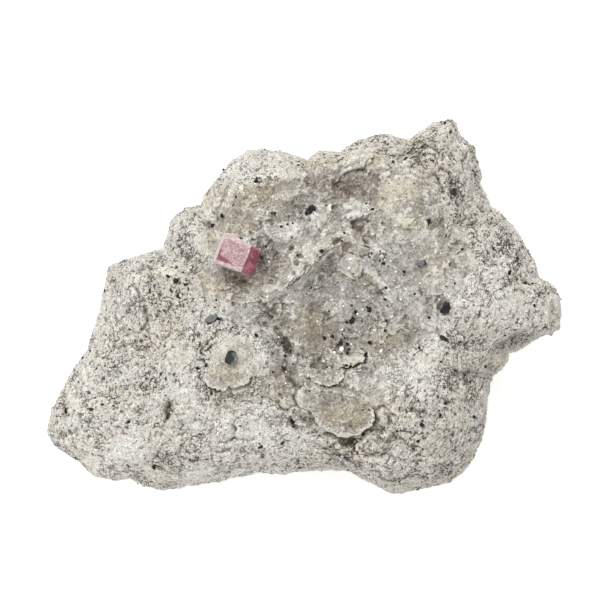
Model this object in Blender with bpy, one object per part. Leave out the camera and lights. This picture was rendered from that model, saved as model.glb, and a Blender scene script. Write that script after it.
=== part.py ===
"""Red beryl in matrix: a lump of pale rhyolite with one stubby beryl prism, drusy crusts and dark crystals.

Metres, +Z up. The lump lies on its flat broken back, with the crystal side up.
The origin is in the middle of the outline, on the surface that the lump rests on.
+X runs along the lump, towards its pointed right lobe, and +Y towards its upper edge.
Sizes in the tables are millimetres and degrees, and become metres where a mesh is made.
"""

import math

import bmesh
import bpy
import numpy as np
from mathutils import Matrix, Vector
from mathutils.bvhtree import BVHTree

MM = 0.001

# The lump: its widest outline lies at RIM_HEIGHT, and the flat back is a little smaller.
RIM_HEIGHT = 6.5
PLATEAU_HEIGHT = 16.6
OUTLINE_CENTRE = (0.8, -1.6)
BACK_SHARE = 0.80
BACK_WAVE = 0.035
EDGE_POWER = 3.0
LEFT_EDGE_POWER = 2.3
LEFT_SLOPE = 0.20
LEFT_SLOPE_START = -9.0

# Mesh fineness of the lump: the widest angle between two spokes, and the rings from the centre to the rim.
SPOKE_GAP = math.radians(6.0)
TOP_RINGS = 17
SHARP_ANGLE = math.radians(40.0)
UNDER_RINGS = ((0.985, 0.62), (0.94, 0.28), (0.88, 0.08))

# The gap that touching pieces keep, how far around a place its height is probed, and from how high.
GAP = 0.3
PROBE_REACH = 0.7
PROBE_COUNT = 6
PROBE_START = 100.0

# The outline from above, clockwise from the tip of the left lobe.
OUTLINE = (
    (-30.0, -14.4), (-29.4, -12.1), (-28.1, -9.8), (-26.6, -6.7), (-25.2, -5.1),
    (-24.0, -1.6), (-23.3, 1.9), (-22.9, 4.5), (-21.2, 5.4), (-18.5, 6.0),
    (-16.4, 6.8), (-15.9, 8.5), (-15.5, 10.1), (-13.9, 11.4), (-11.9, 11.8),
    (-11.5, 13.0), (-10.0, 15.0), (-8.6, 16.8), (-6.4, 18.2), (-3.9, 18.3),
    (-1.0, 17.6), (0.5, 17.0), (1.7, 18.1), (4.3, 18.0), (6.3, 19.4),
    (9.2, 20.2), (10.8, 19.9), (12.2, 19.2), (13.9, 20.5), (16.0, 21.6),
    (17.4, 21.7), (18.3, 19.9), (19.8, 18.7), (20.5, 16.0), (20.7, 14.2),
    (21.8, 11.8), (24.5, 9.4), (25.9, 7.0), (27.0, 5.2), (27.4, 3.5),
    (29.5, 2.0), (30.0, 0.3), (29.8, -2.6), (27.7, -3.5), (25.8, -4.7),
    (23.9, -5.4), (23.8, -6.4), (21.9, -8.4), (21.5, -10.9), (20.8, -15.6),
    (18.9, -19.0), (17.1, -20.4), (13.6, -21.3), (10.6, -21.8), (9.0, -21.1),
    (5.7, -19.3), (3.7, -19.0), (-0.4, -19.1), (-3.7, -19.5), (-5.1, -19.3),
    (-8.2, -19.9), (-10.6, -20.5), (-13.3, -20.9), (-16.4, -21.4), (-18.0, -21.1),
    (-20.3, -20.2), (-22.6, -20.3), (-24.4, -19.8), (-26.1, -18.2), (-29.1, -16.2),
)

# Rises and hollows of the top: place x, y, radii along and across, turn, rise.
RELIEF = {
    "upper bump": (-5.7, 15.4, 5.6, 3.8, 0.0, 2.2),
    "left block": (-20.3, 0.8, 3.8, 4.7, 0.0, 1.6),
    "lower left swell": (-18.0, -14.4, 7.0, 4.7, 0.0, 1.3),
    "shelf swell": (4.0, -11.5, 5.0, 3.0, 0.0, 0.5),
    "shelf foot": (6.5, -16.4, 3.8, 1.6, 30.0, -0.7),
    "lower right mound": (14.2, -14.4, 6.4, 5.3, 0.0, 1.7),
    "upper right knob": (16.6, 17.1, 3.8, 4.5, 0.0, 2.4),
    "tan bump": (8.4, 17.1, 3.3, 2.1, 0.0, 1.2),
    "upper valley": (5.4, 13.6, 4.4, 2.0, 0.0, -1.2),
    "right hollow": (25.4, 4.5, 2.0, 2.1, 0.0, -0.7),
    "gully": (-2.4, -5.1, 1.9, 6.0, 8.0, -1.2),
    "ledge ridge": (0.6, 5.6, 4.2, 2.0, 45.0, 1.2),
    "beryl hollow": (-6.3, 3.2, 2.8, 1.7, -25.0, -1.1),
}

# The shallow basin has a flat floor, so its radii and depth go into a squarer bell.
BASIN = (6.8, -1.3, 8.4, 6.8, -2.6)

# Red beryl: a flattened six-sided prism, lying with its long faces nearly level.
BERYL_PLACE = (-7.9, 6.0)
BERYL_LENGTH = 3.6
BERYL_WIDE_FACE = 3.37
BERYL_SIDE_FACE = 2.03
BERYL_TURN_IN_VIEW = 21.3
BERYL_ROLL = 10.7
BERYL_NOSE_UP = 4.0
BERYL_STANDS_PROUD = 0.5
BERYL_EDGE_ROUND = 0.06

# Crust plates: outline from above, thickness in the middle and at the rim, and colour.
CRUSTS = {
    "druse_basin_lining": dict(
        outline=(
            (-0.4, 2.3), (-0.7, -0.5), (-0.6, -4.0), (0.0, -7.0), (2.5, -8.5),
            (5.4, -8.8), (8.0, -8.2), (10.4, -6.2), (12.4, -4.4), (14.2, -2.6),
            (15.1, -0.6), (15.4, 1.8), (15.3, 4.6), (13.9, 7.2), (11.3, 7.8),
            (9.0, 7.4), (6.9, 6.4), (4.9, 5.2), (2.7, 4.1), (0.9, 3.1),
        ),
        thickness=0.9,
        rim=0.45,
        colour=(0.45, 0.42, 0.37),
    ),
    "crust_shelf_lower": dict(
        outline=(
            (-0.9, -10.0), (-0.4, -11.5), (1.0, -13.3), (2.5, -14.5), (4.9, -14.9),
            (6.8, -14.2), (8.2, -13.0), (8.6, -12.0), (8.4, -10.7), (6.8, -9.8),
            (4.9, -9.6), (2.2, -9.6), (0.2, -9.5),
        ),
        thickness=1.2,
        rim=0.8,
        colour=(0.47, 0.43, 0.34),
    ),
    "crust_plate_left": dict(
        outline=(
            (-11.7, -7.4), (-11.1, -9.4), (-9.5, -9.9), (-8.2, -9.3), (-6.3, -9.1),
            (-5.8, -7.4), (-5.9, -6.3), (-5.7, -5.1), (-6.3, -3.9), (-8.0, -3.3),
            (-9.5, -3.9), (-10.7, -5.1), (-11.4, -6.5),
        ),
        thickness=1.2,
        rim=0.7,
        colour=(0.62, 0.57, 0.47),
    ),
    "crust_ledge_upper": dict(
        outline=(
            (-2.7, 2.9), (-1.6, 2.3), (-0.6, 3.7), (0.8, 4.4), (2.0, 5.3),
            (3.5, 6.6), (4.8, 7.9), (4.2, 8.8), (2.5, 8.8), (0.5, 8.0),
            (-1.3, 6.6), (-2.5, 4.7),
        ),
        thickness=1.1,
        rim=0.6,
        colour=(0.62, 0.60, 0.54),
    ),
    "crust_patch_cream": dict(
        outline=(
            (8.4, 14.8), (8.9, 12.7), (10.1, 11.5), (12.5, 11.1), (14.2, 11.8),
            (14.8, 13.4), (14.1, 15.0), (11.9, 15.7), (9.9, 15.6),
        ),
        thickness=0.8,
        rim=0.4,
        colour=(0.55, 0.51, 0.41),
    ),
    "crust_collar_beryl": dict(
        outline=(
            (-12.0, 4.6), (-11.6, 2.9), (-10.4, 1.6), (-8.0, 1.0), (-6.0, 1.2),
            (-5.2, 2.2), (-6.6, 3.0), (-8.6, 3.9), (-10.1, 4.9), (-11.2, 5.3),
        ),
        thickness=0.8,
        rim=0.45,
        colour=(0.50, 0.45, 0.37),
    ),
}
CRUST_SPOKES = 30
CRUST_RINGS = (0.0, 0.4, 0.75, 1.0)
CRUST_SWELL = 0.45

# Dark crystals: place, length, width, height, turn from above, lean; and any second crystal grown on.
DARK_CRYSTALS = {
    "dark_crystal_plate": dict(place=(-8.5, -5.9), size=(1.2, 1.8, 1.3), turn=-20, lean=14),
    "dark_crystal_slab": dict(place=(-10.6, -1.5), size=(1.5, 0.8, 0.9), turn=28, lean=-10),
    "dark_crystal_double": dict(
        place=(0.8, 11.2), size=(0.8, 0.7, 0.9), turn=35, lean=12, second=(-0.45, -0.42, 0.0)
    ),
    "dark_crystal_oval": dict(place=(13.7, 5.0), size=(1.1, 0.7, 0.8), turn=25, lean=8),
    "dark_crystal_pocket": dict(place=(16.6, -0.3), size=(1.2, 1.5, 1.3), turn=-30, lean=-12),
    "dark_crystal_slit": dict(place=(16.4, -3.7), size=(1.0, 0.6, 0.7), turn=-25, lean=10),
    "dark_crystal_knob": dict(place=(17.5, 13.3), size=(0.8, 1.1, 0.9), turn=10, lean=-8),
    "dark_crystal_centre": dict(
        place=(4.9, -5.0), size=(1.0, 0.9, 1.1), turn=15, lean=10, second=(-0.5, 0.4, 0.0)
    ),
}
DARK_CORNER_CUT = 0.24
DARK_SUNK = 0.15
SECOND_SHARE = 0.85
SECOND_TURN = 40

ROCK_COLOUR = (0.68, 0.66, 0.61)
BERYL_COLOUR = (0.62, 0.22, 0.30)
DARK_COLOUR = (0.02, 0.02, 0.022)


def clear_scene():
    """Removes what a new Blender file starts with."""
    for thing in list(bpy.data.objects):
        bpy.data.objects.remove(thing, do_unlink=True)


def material(name, colour, roughness, metallic=0.0):
    """One Principled material."""
    made = bpy.data.materials.new(name)
    made.use_nodes = True
    shader = made.node_tree.nodes["Principled BSDF"]
    shader.inputs["Base Color"].default_value = (*colour, 1.0)
    shader.inputs["Roughness"].default_value = roughness
    shader.inputs["Metallic"].default_value = metallic
    return made


def new_object(name, bm, finish, smooth=False):
    """Turns a bmesh in millimetres into a named object in metres, shaded smooth where it is rounded."""
    bm.normal_update()
    bmesh.ops.scale(bm, vec=(MM, MM, MM), verts=bm.verts)
    mesh = bpy.data.meshes.new(name)
    bm.to_mesh(mesh)
    bm.free()
    mesh.materials.append(finish)
    if smooth:
        mesh.shade_smooth()
        mesh.set_sharp_from_angle(angle=SHARP_ANGLE)
    made = bpy.data.objects.new(name, mesh)
    bpy.context.scene.collection.objects.link(made)
    return made


def closed_curve_radius(points, centre, angles):
    """Distance from the centre to the closed outline, at each angle, with the corners kept."""
    offset = np.array(points) - np.array(centre)
    at = np.arctan2(offset[:, 1], offset[:, 0])
    reach = np.hypot(offset[:, 0], offset[:, 1])
    order = np.argsort(at)
    at, reach = at[order], reach[order]
    at = np.concatenate((at - 2 * math.pi, at, at + 2 * math.pi))
    reach = np.tile(reach, 3)
    return np.interp(angles, at, reach)


def spoke_angles():
    """One spoke through each point of the outline, and more between points that stand far apart."""
    offset = np.array(OUTLINE) - np.array(OUTLINE_CENTRE)
    at = np.sort(np.arctan2(offset[:, 1], offset[:, 0]))
    gaps = np.diff(np.append(at, at[0] + 2 * math.pi))
    angles = []
    for start, gap in zip(at, gaps):
        steps = math.ceil(gap / SPOKE_GAP)
        angles.extend(start + gap * k / steps for k in range(steps))
    return np.array(angles)


def bell(x, y, place, radii, turn):
    """1 in the middle of a turned ellipse, falling smoothly to 0 outside it."""
    c, s = math.cos(math.radians(turn)), math.sin(math.radians(turn))
    along = ((x - place[0]) * c + (y - place[1]) * s) / radii[0]
    across = ((y - place[1]) * c - (x - place[0]) * s) / radii[1]
    return np.exp(-(along**2 + across**2))


def plateau(x, y):
    """Height of the top before its edge is rounded off."""
    height = PLATEAU_HEIGHT - LEFT_SLOPE * np.maximum(0.0, LEFT_SLOPE_START - x)
    for px, py, rx, ry, turn, rise in RELIEF.values():
        height = height + rise * bell(x, y, (px, py), (rx, ry), turn)
    bx, by, brx, bry, depth = BASIN
    inside = ((x - bx) / brx) ** 2 + ((y - by) / bry) ** 2
    return height + depth * np.exp(-(inside**2))


def top_height(x, y, share, angle):
    """Height of the top surface at a share of the way from the centre to the outline."""
    leftness = 0.5 - 0.5 * np.cos(angle)
    power = EDGE_POWER + (LEFT_EDGE_POWER - EDGE_POWER) * leftness
    fall = np.maximum(0.0, 1.0 - share**power) ** (1.0 / power)
    return RIM_HEIGHT + (plateau(x, y) - RIM_HEIGHT) * fall


def rhyolite_matrix(finish):
    """The lump: rings of the top from the centre to the rim, and a shorter underside to a flat back."""
    angles = spoke_angles()
    spokes = len(angles)
    rim = closed_curve_radius(OUTLINE, OUTLINE_CENTRE, angles)
    cx, cy = OUTLINE_CENTRE
    bm = bmesh.new()

    def ring(share, height):
        x = cx + rim * share * np.cos(angles)
        y = cy + rim * share * np.sin(angles)
        z = np.broadcast_to(height(x, y, share), x.shape)
        return [bm.verts.new(point) for point in zip(x, y, z)]

    def on_top(x, y, share):
        return top_height(x, y, np.full_like(x, share), angles)

    shares = np.sin(np.linspace(0.0, math.pi / 2, TOP_RINGS + 1)[1:])
    rings = [ring(share, on_top) for share in shares]
    for share, rise in UNDER_RINGS:
        rings.append(ring(share, lambda x, y, s, rise=rise: RIM_HEIGHT * rise))
    wave = BACK_WAVE * np.sin(3 * angles + 0.6) + BACK_WAVE * 0.6 * np.sin(5 * angles)
    rings.append(ring(BACK_SHARE + wave, lambda x, y, s: 0.0))

    centre_height = float(top_height(np.array(cx), np.array(cy), np.array(0.0), np.array(0.0)))
    peak = bm.verts.new((cx, cy, centre_height))
    for i in range(spokes):
        bm.faces.new((peak, rings[0][i], rings[0][(i + 1) % spokes]))
    for inner, outer in zip(rings, rings[1:]):
        for i in range(spokes):
            j = (i + 1) % spokes
            bm.faces.new((inner[i], outer[i], outer[j], inner[j]))
    bm.faces.new(rings[-1][::-1])
    return new_object("rhyolite_matrix", bm, finish, smooth=True)


def surface_probe(lump):
    """A function that gives the lump's height at a place, in millimetres, the highest close around it."""
    tree = BVHTree.FromObject(lump, bpy.context.evaluated_depsgraph_get())
    probes = [(0.0, 0.0)]
    for k in range(PROBE_COUNT):
        turn = 2 * math.pi * k / PROBE_COUNT
        probes.append((PROBE_REACH * math.cos(turn), PROBE_REACH * math.sin(turn)))

    def height(x, y, spread=True):
        found = []
        for dx, dy in probes if spread else probes[:1]:
            start = Vector((x + dx, y + dy, PROBE_START)) * MM
            hit = tree.ray_cast(start, Vector((0.0, 0.0, -1.0)))[0]
            if hit is not None:
                found.append(hit.z / MM)
        return max(found)

    return height


def crust_plate(name, outline, thickness, rim, finish, height):
    """A crust plate that follows the lump a gap above it, thicker in the middle than at its rim."""
    centre = np.array(outline).mean(axis=0)
    angles = np.linspace(-math.pi, math.pi, CRUST_SPOKES, endpoint=False)
    reach = closed_curve_radius(outline, centre, angles)
    bm = bmesh.new()

    def ring(share, top):
        made = []
        for angle, radius in zip(angles, reach):
            x = centre[0] + share * radius * math.cos(angle)
            y = centre[1] + share * radius * math.sin(angle)
            z = height(x, y) + GAP
            if top:
                z += rim + (thickness - rim) * (1.0 - share**2) ** CRUST_SWELL
            made.append(bm.verts.new((x, y, z)))
            if share == 0.0:
                break
        return made

    def skin(rings, upward):
        hub = rings[0][0]
        for i in range(CRUST_SPOKES):
            j = (i + 1) % CRUST_SPOKES
            face = (hub, rings[1][i], rings[1][j])
            bm.faces.new(face if upward else face[::-1])
            for inner, outer in zip(rings[1:], rings[2:]):
                face = (inner[i], outer[i], outer[j], inner[j])
                bm.faces.new(face if upward else face[::-1])

    top = [ring(share, True) for share in CRUST_RINGS]
    under = [ring(share, False) for share in CRUST_RINGS]
    skin(top, True)
    skin(under, False)
    for i in range(CRUST_SPOKES):
        j = (i + 1) % CRUST_SPOKES
        bm.faces.new((top[-1][i], under[-1][i], under[-1][j], top[-1][j]))
    return new_object(name, bm, finish, smooth=True)


def beryl_mesh(grow):
    """The prism about its own middle, long axis along Y, wide faces up and down, grown by a gap."""
    half_wide = BERYL_WIDE_FACE / 2
    slope = math.radians(60)
    half_thick = BERYL_SIDE_FACE * math.sin(slope)
    tip = half_wide + BERYL_SIDE_FACE * math.cos(slope)
    stretch_x = (tip + grow / math.sin(slope)) / tip
    stretch_z = (half_thick + grow) / half_thick
    corners = [
        (-half_wide, half_thick), (half_wide, half_thick), (tip, 0.0),
        (half_wide, -half_thick), (-half_wide, -half_thick), (-tip, 0.0),
    ]
    half_long = BERYL_LENGTH / 2 + grow
    bm = bmesh.new()
    ends = []
    for y in (-half_long, half_long):
        ends.append([bm.verts.new((x * stretch_x, y, z * stretch_z)) for x, z in corners])
    bm.faces.new(ends[0][::-1])
    bm.faces.new(ends[1])
    for i in range(6):
        j = (i + 1) % 6
        bm.faces.new((ends[0][i], ends[0][j], ends[1][j], ends[1][i]))
    bmesh.ops.recalc_face_normals(bm, faces=bm.faces)
    return bm


def beryl_pose(height):
    """Turns the prism to its place: rolled about its length, its near end raised, then turned from above."""
    x, y = BERYL_PLACE
    place = Matrix.Translation((x, y, height(x, y, False) + BERYL_STANDS_PROUD))
    turn = Matrix.Rotation(math.radians(-BERYL_TURN_IN_VIEW), 4, "Z")
    nose = Matrix.Rotation(math.radians(-BERYL_NOSE_UP), 4, "X")
    roll = Matrix.Rotation(math.radians(-BERYL_ROLL), 4, "Y")
    return place @ turn @ nose @ roll


def dark_crystal_mesh(size, grow):
    """A block with its eight corners cut off, as such crystals grow, with an even gap added all round."""
    bm = bmesh.new()
    bmesh.ops.create_cube(bm, size=1.0)
    corners = list(bm.verts)
    bmesh.ops.bevel(bm, geom=corners, offset=DARK_CORNER_CUT, segments=1, affect="VERTICES")
    bmesh.ops.scale(bm, vec=[side + 2 * grow for side in size], verts=bm.verts)
    bmesh.ops.triangulate(bm, faces=bm.faces)
    return bm


def dark_crystal_pose(place, turn, lean, height, sunk, offset=(0.0, 0.0, 0.0)):
    """Where a dark crystal sits: its middle just under the surface around it."""
    x, y = place[0] + offset[0], place[1] + offset[1]
    z = height(place[0], place[1], False) - sunk + offset[2]
    spin = Matrix.Rotation(math.radians(turn), 4, "Z")
    tip = Matrix.Rotation(math.radians(lean), 4, "X") @ Matrix.Rotation(math.radians(lean), 4, "Y")
    return Matrix.Translation((x, y, z)) @ spin @ tip


def cutter(name, bm, finish):
    """A guide object that cuts a socket and isn't a piece."""
    made = new_object(name, bm, finish)
    made.hide_render = True
    made.display_type = "WIRE"
    return made


def boolean(target, tool, operation):
    """Adds an exact Boolean to the target, with a helper object as its tool."""
    modifier = target.modifiers.new(f"{operation.lower()} {tool.name}", "BOOLEAN")
    modifier.operation = operation
    modifier.solver = "EXACT"
    modifier.object = tool


def grow_dark_crystal(name, spec, height, finish):
    """One dark crystal, with a second grown on where it has one, and the sockets that hold it."""
    sockets = []
    seats = [((0.0, 0.0, 0.0), spec["turn"], spec["size"])]
    if "second" in spec:
        smaller = tuple(SECOND_SHARE * side for side in spec["size"])
        seats.append((spec["second"], spec["turn"] + SECOND_TURN, smaller))
    crystal = None
    for k, (offset, turn, size) in enumerate(seats):
        pose = dark_crystal_pose(spec["place"], turn, spec["lean"], height, DARK_SUNK, offset)
        bm = dark_crystal_mesh(size, 0.0)
        bm.transform(pose)
        if crystal is None:
            crystal = new_object(name, bm, finish)
        else:
            boolean(crystal, cutter(f"{name}_second", bm, finish), "UNION")
        bm = dark_crystal_mesh(size, GAP)
        bm.transform(pose)
        sockets.append(cutter(f"{name}_socket_{k}", bm, finish))
    return crystal, sockets


def boxes_meet(first, second):
    """Whether two objects' boxes overlap."""
    corners = []
    for thing in (first, second):
        points = np.array([vertex.co for vertex in thing.data.vertices])
        corners.append((points.min(axis=0), points.max(axis=0)))
    (low_a, high_a), (low_b, high_b) = corners
    return bool(np.all(low_a < high_b) and np.all(low_b < high_a))


def hosts_height(hosts):
    """A probe of the highest surface at a place, over the lump and all its crusts."""
    probes = [surface_probe(host) for host in hosts]

    def height(x, y, spread=True):
        found = []
        for probe in probes:
            try:
                found.append(probe(x, y, spread))
            except ValueError:
                continue
        return max(found)

    return height


def main():
    """Builds the lump, its crusts and its crystals, and cuts the sockets that the crystals sit in."""
    clear_scene()
    rock = material("rhyolite", ROCK_COLOUR, 0.95)
    beryl_finish = material("red_beryl", BERYL_COLOUR, 0.12)
    dark_finish = material("dark_mineral", DARK_COLOUR, 0.25, 0.4)

    lump = rhyolite_matrix(rock)
    height = surface_probe(lump)
    hosts = [lump]
    for name, spec in CRUSTS.items():
        finish = material(name, spec["colour"], 0.7)
        shape = (spec["outline"], spec["thickness"], spec["rim"])
        hosts.append(crust_plate(name, *shape, finish, height))

    tools = []
    bm = beryl_mesh(0.0)
    bmesh.ops.bevel(bm, geom=bm.edges[:], offset=BERYL_EDGE_ROUND, segments=1, affect="EDGES")
    bm.transform(beryl_pose(height))
    new_object("red_beryl_crystal", bm, beryl_finish)
    bm = beryl_mesh(GAP)
    bm.transform(beryl_pose(height))
    tools.append(cutter("beryl_socket", bm, beryl_finish))

    for name, spec in DARK_CRYSTALS.items():
        carrier = hosts_height(hosts)
        sockets = grow_dark_crystal(name, spec, carrier, dark_finish)[1]
        tools.extend(sockets)

    for host in hosts:
        for tool in tools:
            if boxes_meet(host, tool):
                boolean(host, tool, "DIFFERENCE")


main()
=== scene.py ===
"""Looks of a red beryl crystal on its lump of rhyolite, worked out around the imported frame.

Every piece is a surface computed with numpy: the lump and its crust plates are discs whose points are
raised, carved and roughened, and crystals and grains are many small faceted solids in one mesh.
Lengths are millimetres until a mesh is made, and places read from the photograph are pixels of its
600 by 600 frame, turned into millimetres by from_photo.
"""

import logging
import math
from dataclasses import dataclass, field
from enum import Enum
from functools import lru_cache
from itertools import combinations
from typing import Optional, Sequence

import bpy
import numpy as np
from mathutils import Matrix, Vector


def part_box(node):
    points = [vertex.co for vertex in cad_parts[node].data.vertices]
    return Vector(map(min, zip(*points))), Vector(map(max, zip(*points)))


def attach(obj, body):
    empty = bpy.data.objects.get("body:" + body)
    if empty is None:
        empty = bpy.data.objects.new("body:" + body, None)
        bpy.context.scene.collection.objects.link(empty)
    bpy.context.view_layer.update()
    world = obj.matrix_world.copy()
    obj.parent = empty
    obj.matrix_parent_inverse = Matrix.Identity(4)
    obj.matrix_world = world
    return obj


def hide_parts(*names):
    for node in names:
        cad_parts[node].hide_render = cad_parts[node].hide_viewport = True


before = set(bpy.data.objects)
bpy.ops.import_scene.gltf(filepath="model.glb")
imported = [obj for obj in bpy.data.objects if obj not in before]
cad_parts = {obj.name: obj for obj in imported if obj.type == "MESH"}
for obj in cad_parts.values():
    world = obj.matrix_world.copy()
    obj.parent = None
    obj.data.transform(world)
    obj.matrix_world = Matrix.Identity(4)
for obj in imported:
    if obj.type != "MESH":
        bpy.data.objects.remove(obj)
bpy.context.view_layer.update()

LOG = logging.getLogger("specimen")

MM = 0.001
MM_PER_PIXEL = 0.117
PHOTO_MIDDLE = (303.5, 306.5)
FRAME_PIXELS = 600

Array = np.ndarray
Layers = dict[str, Array]
Places = Sequence[tuple[float, float]]
Colour = tuple[float, float, float]
Material = bpy.types.Material
Object = bpy.types.Object


def from_photo(places: Places) -> Array:
    """Pixel places in millimetres, one row each: x to the right and y up from the photograph's middle."""
    return (np.atleast_2d(np.asarray(places, float)) - PHOTO_MIDDLE) * (MM_PER_PIXEL, -MM_PER_PIXEL)


def smooth(low: float, high: float, value: Array) -> Array:
    """Smooth step: 0 below low, 1 above high, an S-curve 3t² - 2t³ between."""
    t = np.clip((value - low) / (high - low), 0.0, 1.0)
    return t * t * (3.0 - 2.0 * t)


def unit(vectors: Array) -> Array:
    """The same vectors with length 1."""
    return vectors / np.maximum(np.linalg.norm(vectors, axis=-1, keepdims=True), 1e-12)


def flat(x: Array, y: Array) -> Array:
    """Points of height 0."""
    return np.column_stack((x, y, np.zeros(x.shape)))


def bell(distance: Array, width: float) -> Array:
    """exp(-(distance / width)²)."""
    return np.exp(-((distance / width) ** 2))


def cos_sin(degrees: float) -> tuple[float, float]:
    """Cosine and sine."""
    return math.cos(math.radians(degrees)), math.sin(math.radians(degrees))


def rotation(degrees: float, first: int, second: int) -> Array:
    """The matrix that turns the first axis towards the second."""
    c, s = cos_sin(degrees)
    matrix = np.eye(3)
    matrix[first, first], matrix[second, second] = c, c
    matrix[first, second], matrix[second, first] = -s, s
    return matrix


def placed(name: str, data: bpy.types.ID) -> Object:
    """A new object in the scene, at the origin."""
    made = bpy.data.objects.new(name, data)
    bpy.context.scene.collection.objects.link(made)
    return made


@lru_cache(maxsize=None)
def random_table(seed: int) -> Array:
    """Four rows of 8192 numbers from 0 to 1, the same for a seed on every run."""
    return np.random.default_rng(seed).uniform(size=(4, 8192)).astype(np.float32)


@dataclass(frozen=True)
class Noise:
    """Seeded noise over points in space."""

    seed: int

    @staticmethod
    def number(x: Array, y: Array, z: Array) -> Array:
        """A place in the random table for each whole-numbered cell, by mixing its bits."""
        key = x * np.uint32(374761393) + y * np.uint32(668265263) + z * np.uint32(2246822519)
        for shift, factor in ((15, 739982445), (12, 695872825)):
            key ^= key >> np.uint32(shift)
            key *= np.uint32(factor)
        return (key ^ (key >> np.uint32(15))) & np.uint32(8191)

    @staticmethod
    def lattice(points: Array, size: float) -> tuple[Array, Array]:
        """The cell that each point lies in, less 1, and the place inside the cell, as rows x, y and z."""
        grid = np.ascontiguousarray(points.T, dtype=np.float32) / np.float32(size)
        low = np.floor(grid)
        return (low - 1.0).astype(np.int64).astype(np.uint32), grid - low

    def smooth_noise(self, points: Array, size: float) -> Array:
        """Gradient noise: in each cell the eight corners' slopes are blended by a quintic curve.

        Args:
            points: places in space, one row each.
            size: width of a cell.

        Returns:
            Values of about -1 to 1.
        """
        cell, offset = self.lattice(points, size)
        fade = offset**3 * (offset * (offset * 6 - 15) + 10)
        table = random_table(self.seed) * 2 - 1
        total = np.zeros(len(points), np.float32)
        for corner in np.ndindex(2, 2, 2):
            at = self.number(*(cell[k] + np.uint32(corner[k] + 1) for k in range(3)))
            reach = sum(table[k][at] * (offset[k] - corner[k]) for k in range(3))
            share = [fade[k] if corner[k] else 1 - fade[k] for k in range(3)]
            total += reach * share[0] * share[1] * share[2]
        return total.astype(float) * 1.5

    def layered(self, points: Array, size: float, octaves: int, gain: float = 0.5) -> Array:
        """Sum of noises, each finer by 2.1 and weaker by the gain."""
        total = np.zeros(len(points))
        weight, reach = 1.0, 0.0
        for octave in range(octaves):
            layer = Noise(self.seed + 17 * octave)
            total += weight * layer.smooth_noise(points + 7.3 * octave, size / 2.1**octave)
            reach += weight
            weight *= gain
        return total / reach

    def warp(self, points: Array, size: float, reach: float) -> Array:
        """The points, each moved by three noises of two layers."""
        moves = [self.layered(points + shift, size, 2) for shift in (0, 20, 40)]
        return points + reach * np.column_stack(moves)

    def cells(self, points: Array, size: float) -> tuple[Array, Array, Array]:
        """Distances to scattered seeds, one in each cell of a jittered lattice.

        Args:
            points: places in space, one row each.
            size: width of a cell.

        Returns:
            The distances to the nearest and second seed in cell widths, and a number of the nearest.
        """
        cell, offset = self.lattice(points, size)
        table = random_table(self.seed)
        first = np.full(len(points), 9.0, np.float32)
        second, name = first.copy(), np.zeros(len(points), np.float32)
        for step in np.ndindex(3, 3, 3):
            at = self.number(*(cell[k] + np.uint32(step[k]) for k in range(3)))
            distance = sum((table[k][at] + (step[k] - 1) - offset[k]) ** 2 for k in range(3))
            closer = distance < first
            second = np.where(closer, first, np.minimum(second, distance))
            name = np.where(closer, table[3][at], name)
            first = np.where(closer, distance, first)
        return np.sqrt(first).astype(float), np.sqrt(second).astype(float), name.astype(float)


@dataclass(frozen=True)
class Swell:
    """A rise or hollow: a bell over a turned ellipse, with a flatter top where power is over 1."""

    at: tuple[float, float]
    radii: tuple[float, float]
    rise: float
    turn: float = 0.0
    power: float = 1.0

    def weight(self, x: Array, y: Array) -> Array:
        """exp(-(u² + v²)^power), with u and v along and across the ellipse in radii."""
        c, s = cos_sin(self.turn)
        dx, dy = x - self.at[0], y - self.at[1]
        along = (dx * c + dy * s) / self.radii[0]
        across = (dy * c - dx * s) / self.radii[1]
        return np.exp(-((along**2 + across**2) ** self.power))

    def height(self, x: Array, y: Array) -> Array:
        """How far the swell raises each place."""
        return self.rise * self.weight(x, y)


def seen_swells(*rows: Sequence[float]) -> tuple[Swell, ...]:
    """Swells given in pixels of the photograph: x, y, the two radii, and then rise, turn and power."""
    return tuple(
        Swell(tuple(from_photo((x, y))[0]), (wide * MM_PER_PIXEL, high * MM_PER_PIXEL), *rest)
        for x, y, wide, high, *rest in rows
    )


def by_angle(offset: Array, angle: Array, *values: Array) -> list[Array]:
    """Values of an outline's points, read off at other angles, straight between neighbours.

    Args:
        offset: the outline's points from its middle, one row each.
        angle: where the values are wanted.
        values: arrays with a value for each point.

    Returns:
        Each array's values at the angles.
    """
    at = np.arctan2(offset[:, 1], offset[:, 0])
    order = np.argsort(at)
    around = np.concatenate([at[order] + turn for turn in (-2 * math.pi, 0.0, 2 * math.pi)])
    turned = (angle + math.pi) % (2 * math.pi) - math.pi
    return [np.interp(turned, around, np.tile(value[order], 3)) for value in values]


def along_line(line: Array, x: Array, y: Array) -> tuple[Array, Array, Array]:
    """Nearest point of an open line to each place.

    Args:
        line: the line's points, one row each.
        x: places' x.
        y: places' y.

    Returns:
        The distance, the side (1 on the right, -1 on the left) and the share of the length run through.
    """
    lengths = np.linalg.norm(np.diff(line, axis=0), axis=1)
    run = np.concatenate(([0.0], np.cumsum(lengths))) / lengths.sum()
    best = np.full(x.shape, 1e9)
    side, share = np.zeros((2, *x.shape))
    for k, (start, end) in enumerate(zip(line, line[1:])):
        step = end - start
        t = np.clip(((x - start[0]) * step[0] + (y - start[1]) * step[1]) / (step @ step), 0.0, 1.0)
        gap_x, gap_y = x - start[0] - t * step[0], y - start[1] - t * step[1]
        distance = np.hypot(gap_x, gap_y)
        closer = distance < best
        side = np.where(closer, np.sign(step[1] * gap_x - step[0] * gap_y), side)
        share = np.where(closer, run[k] + t * (run[k + 1] - run[k]), share)
        best = np.where(closer, distance, best)
    return best, side, share


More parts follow.
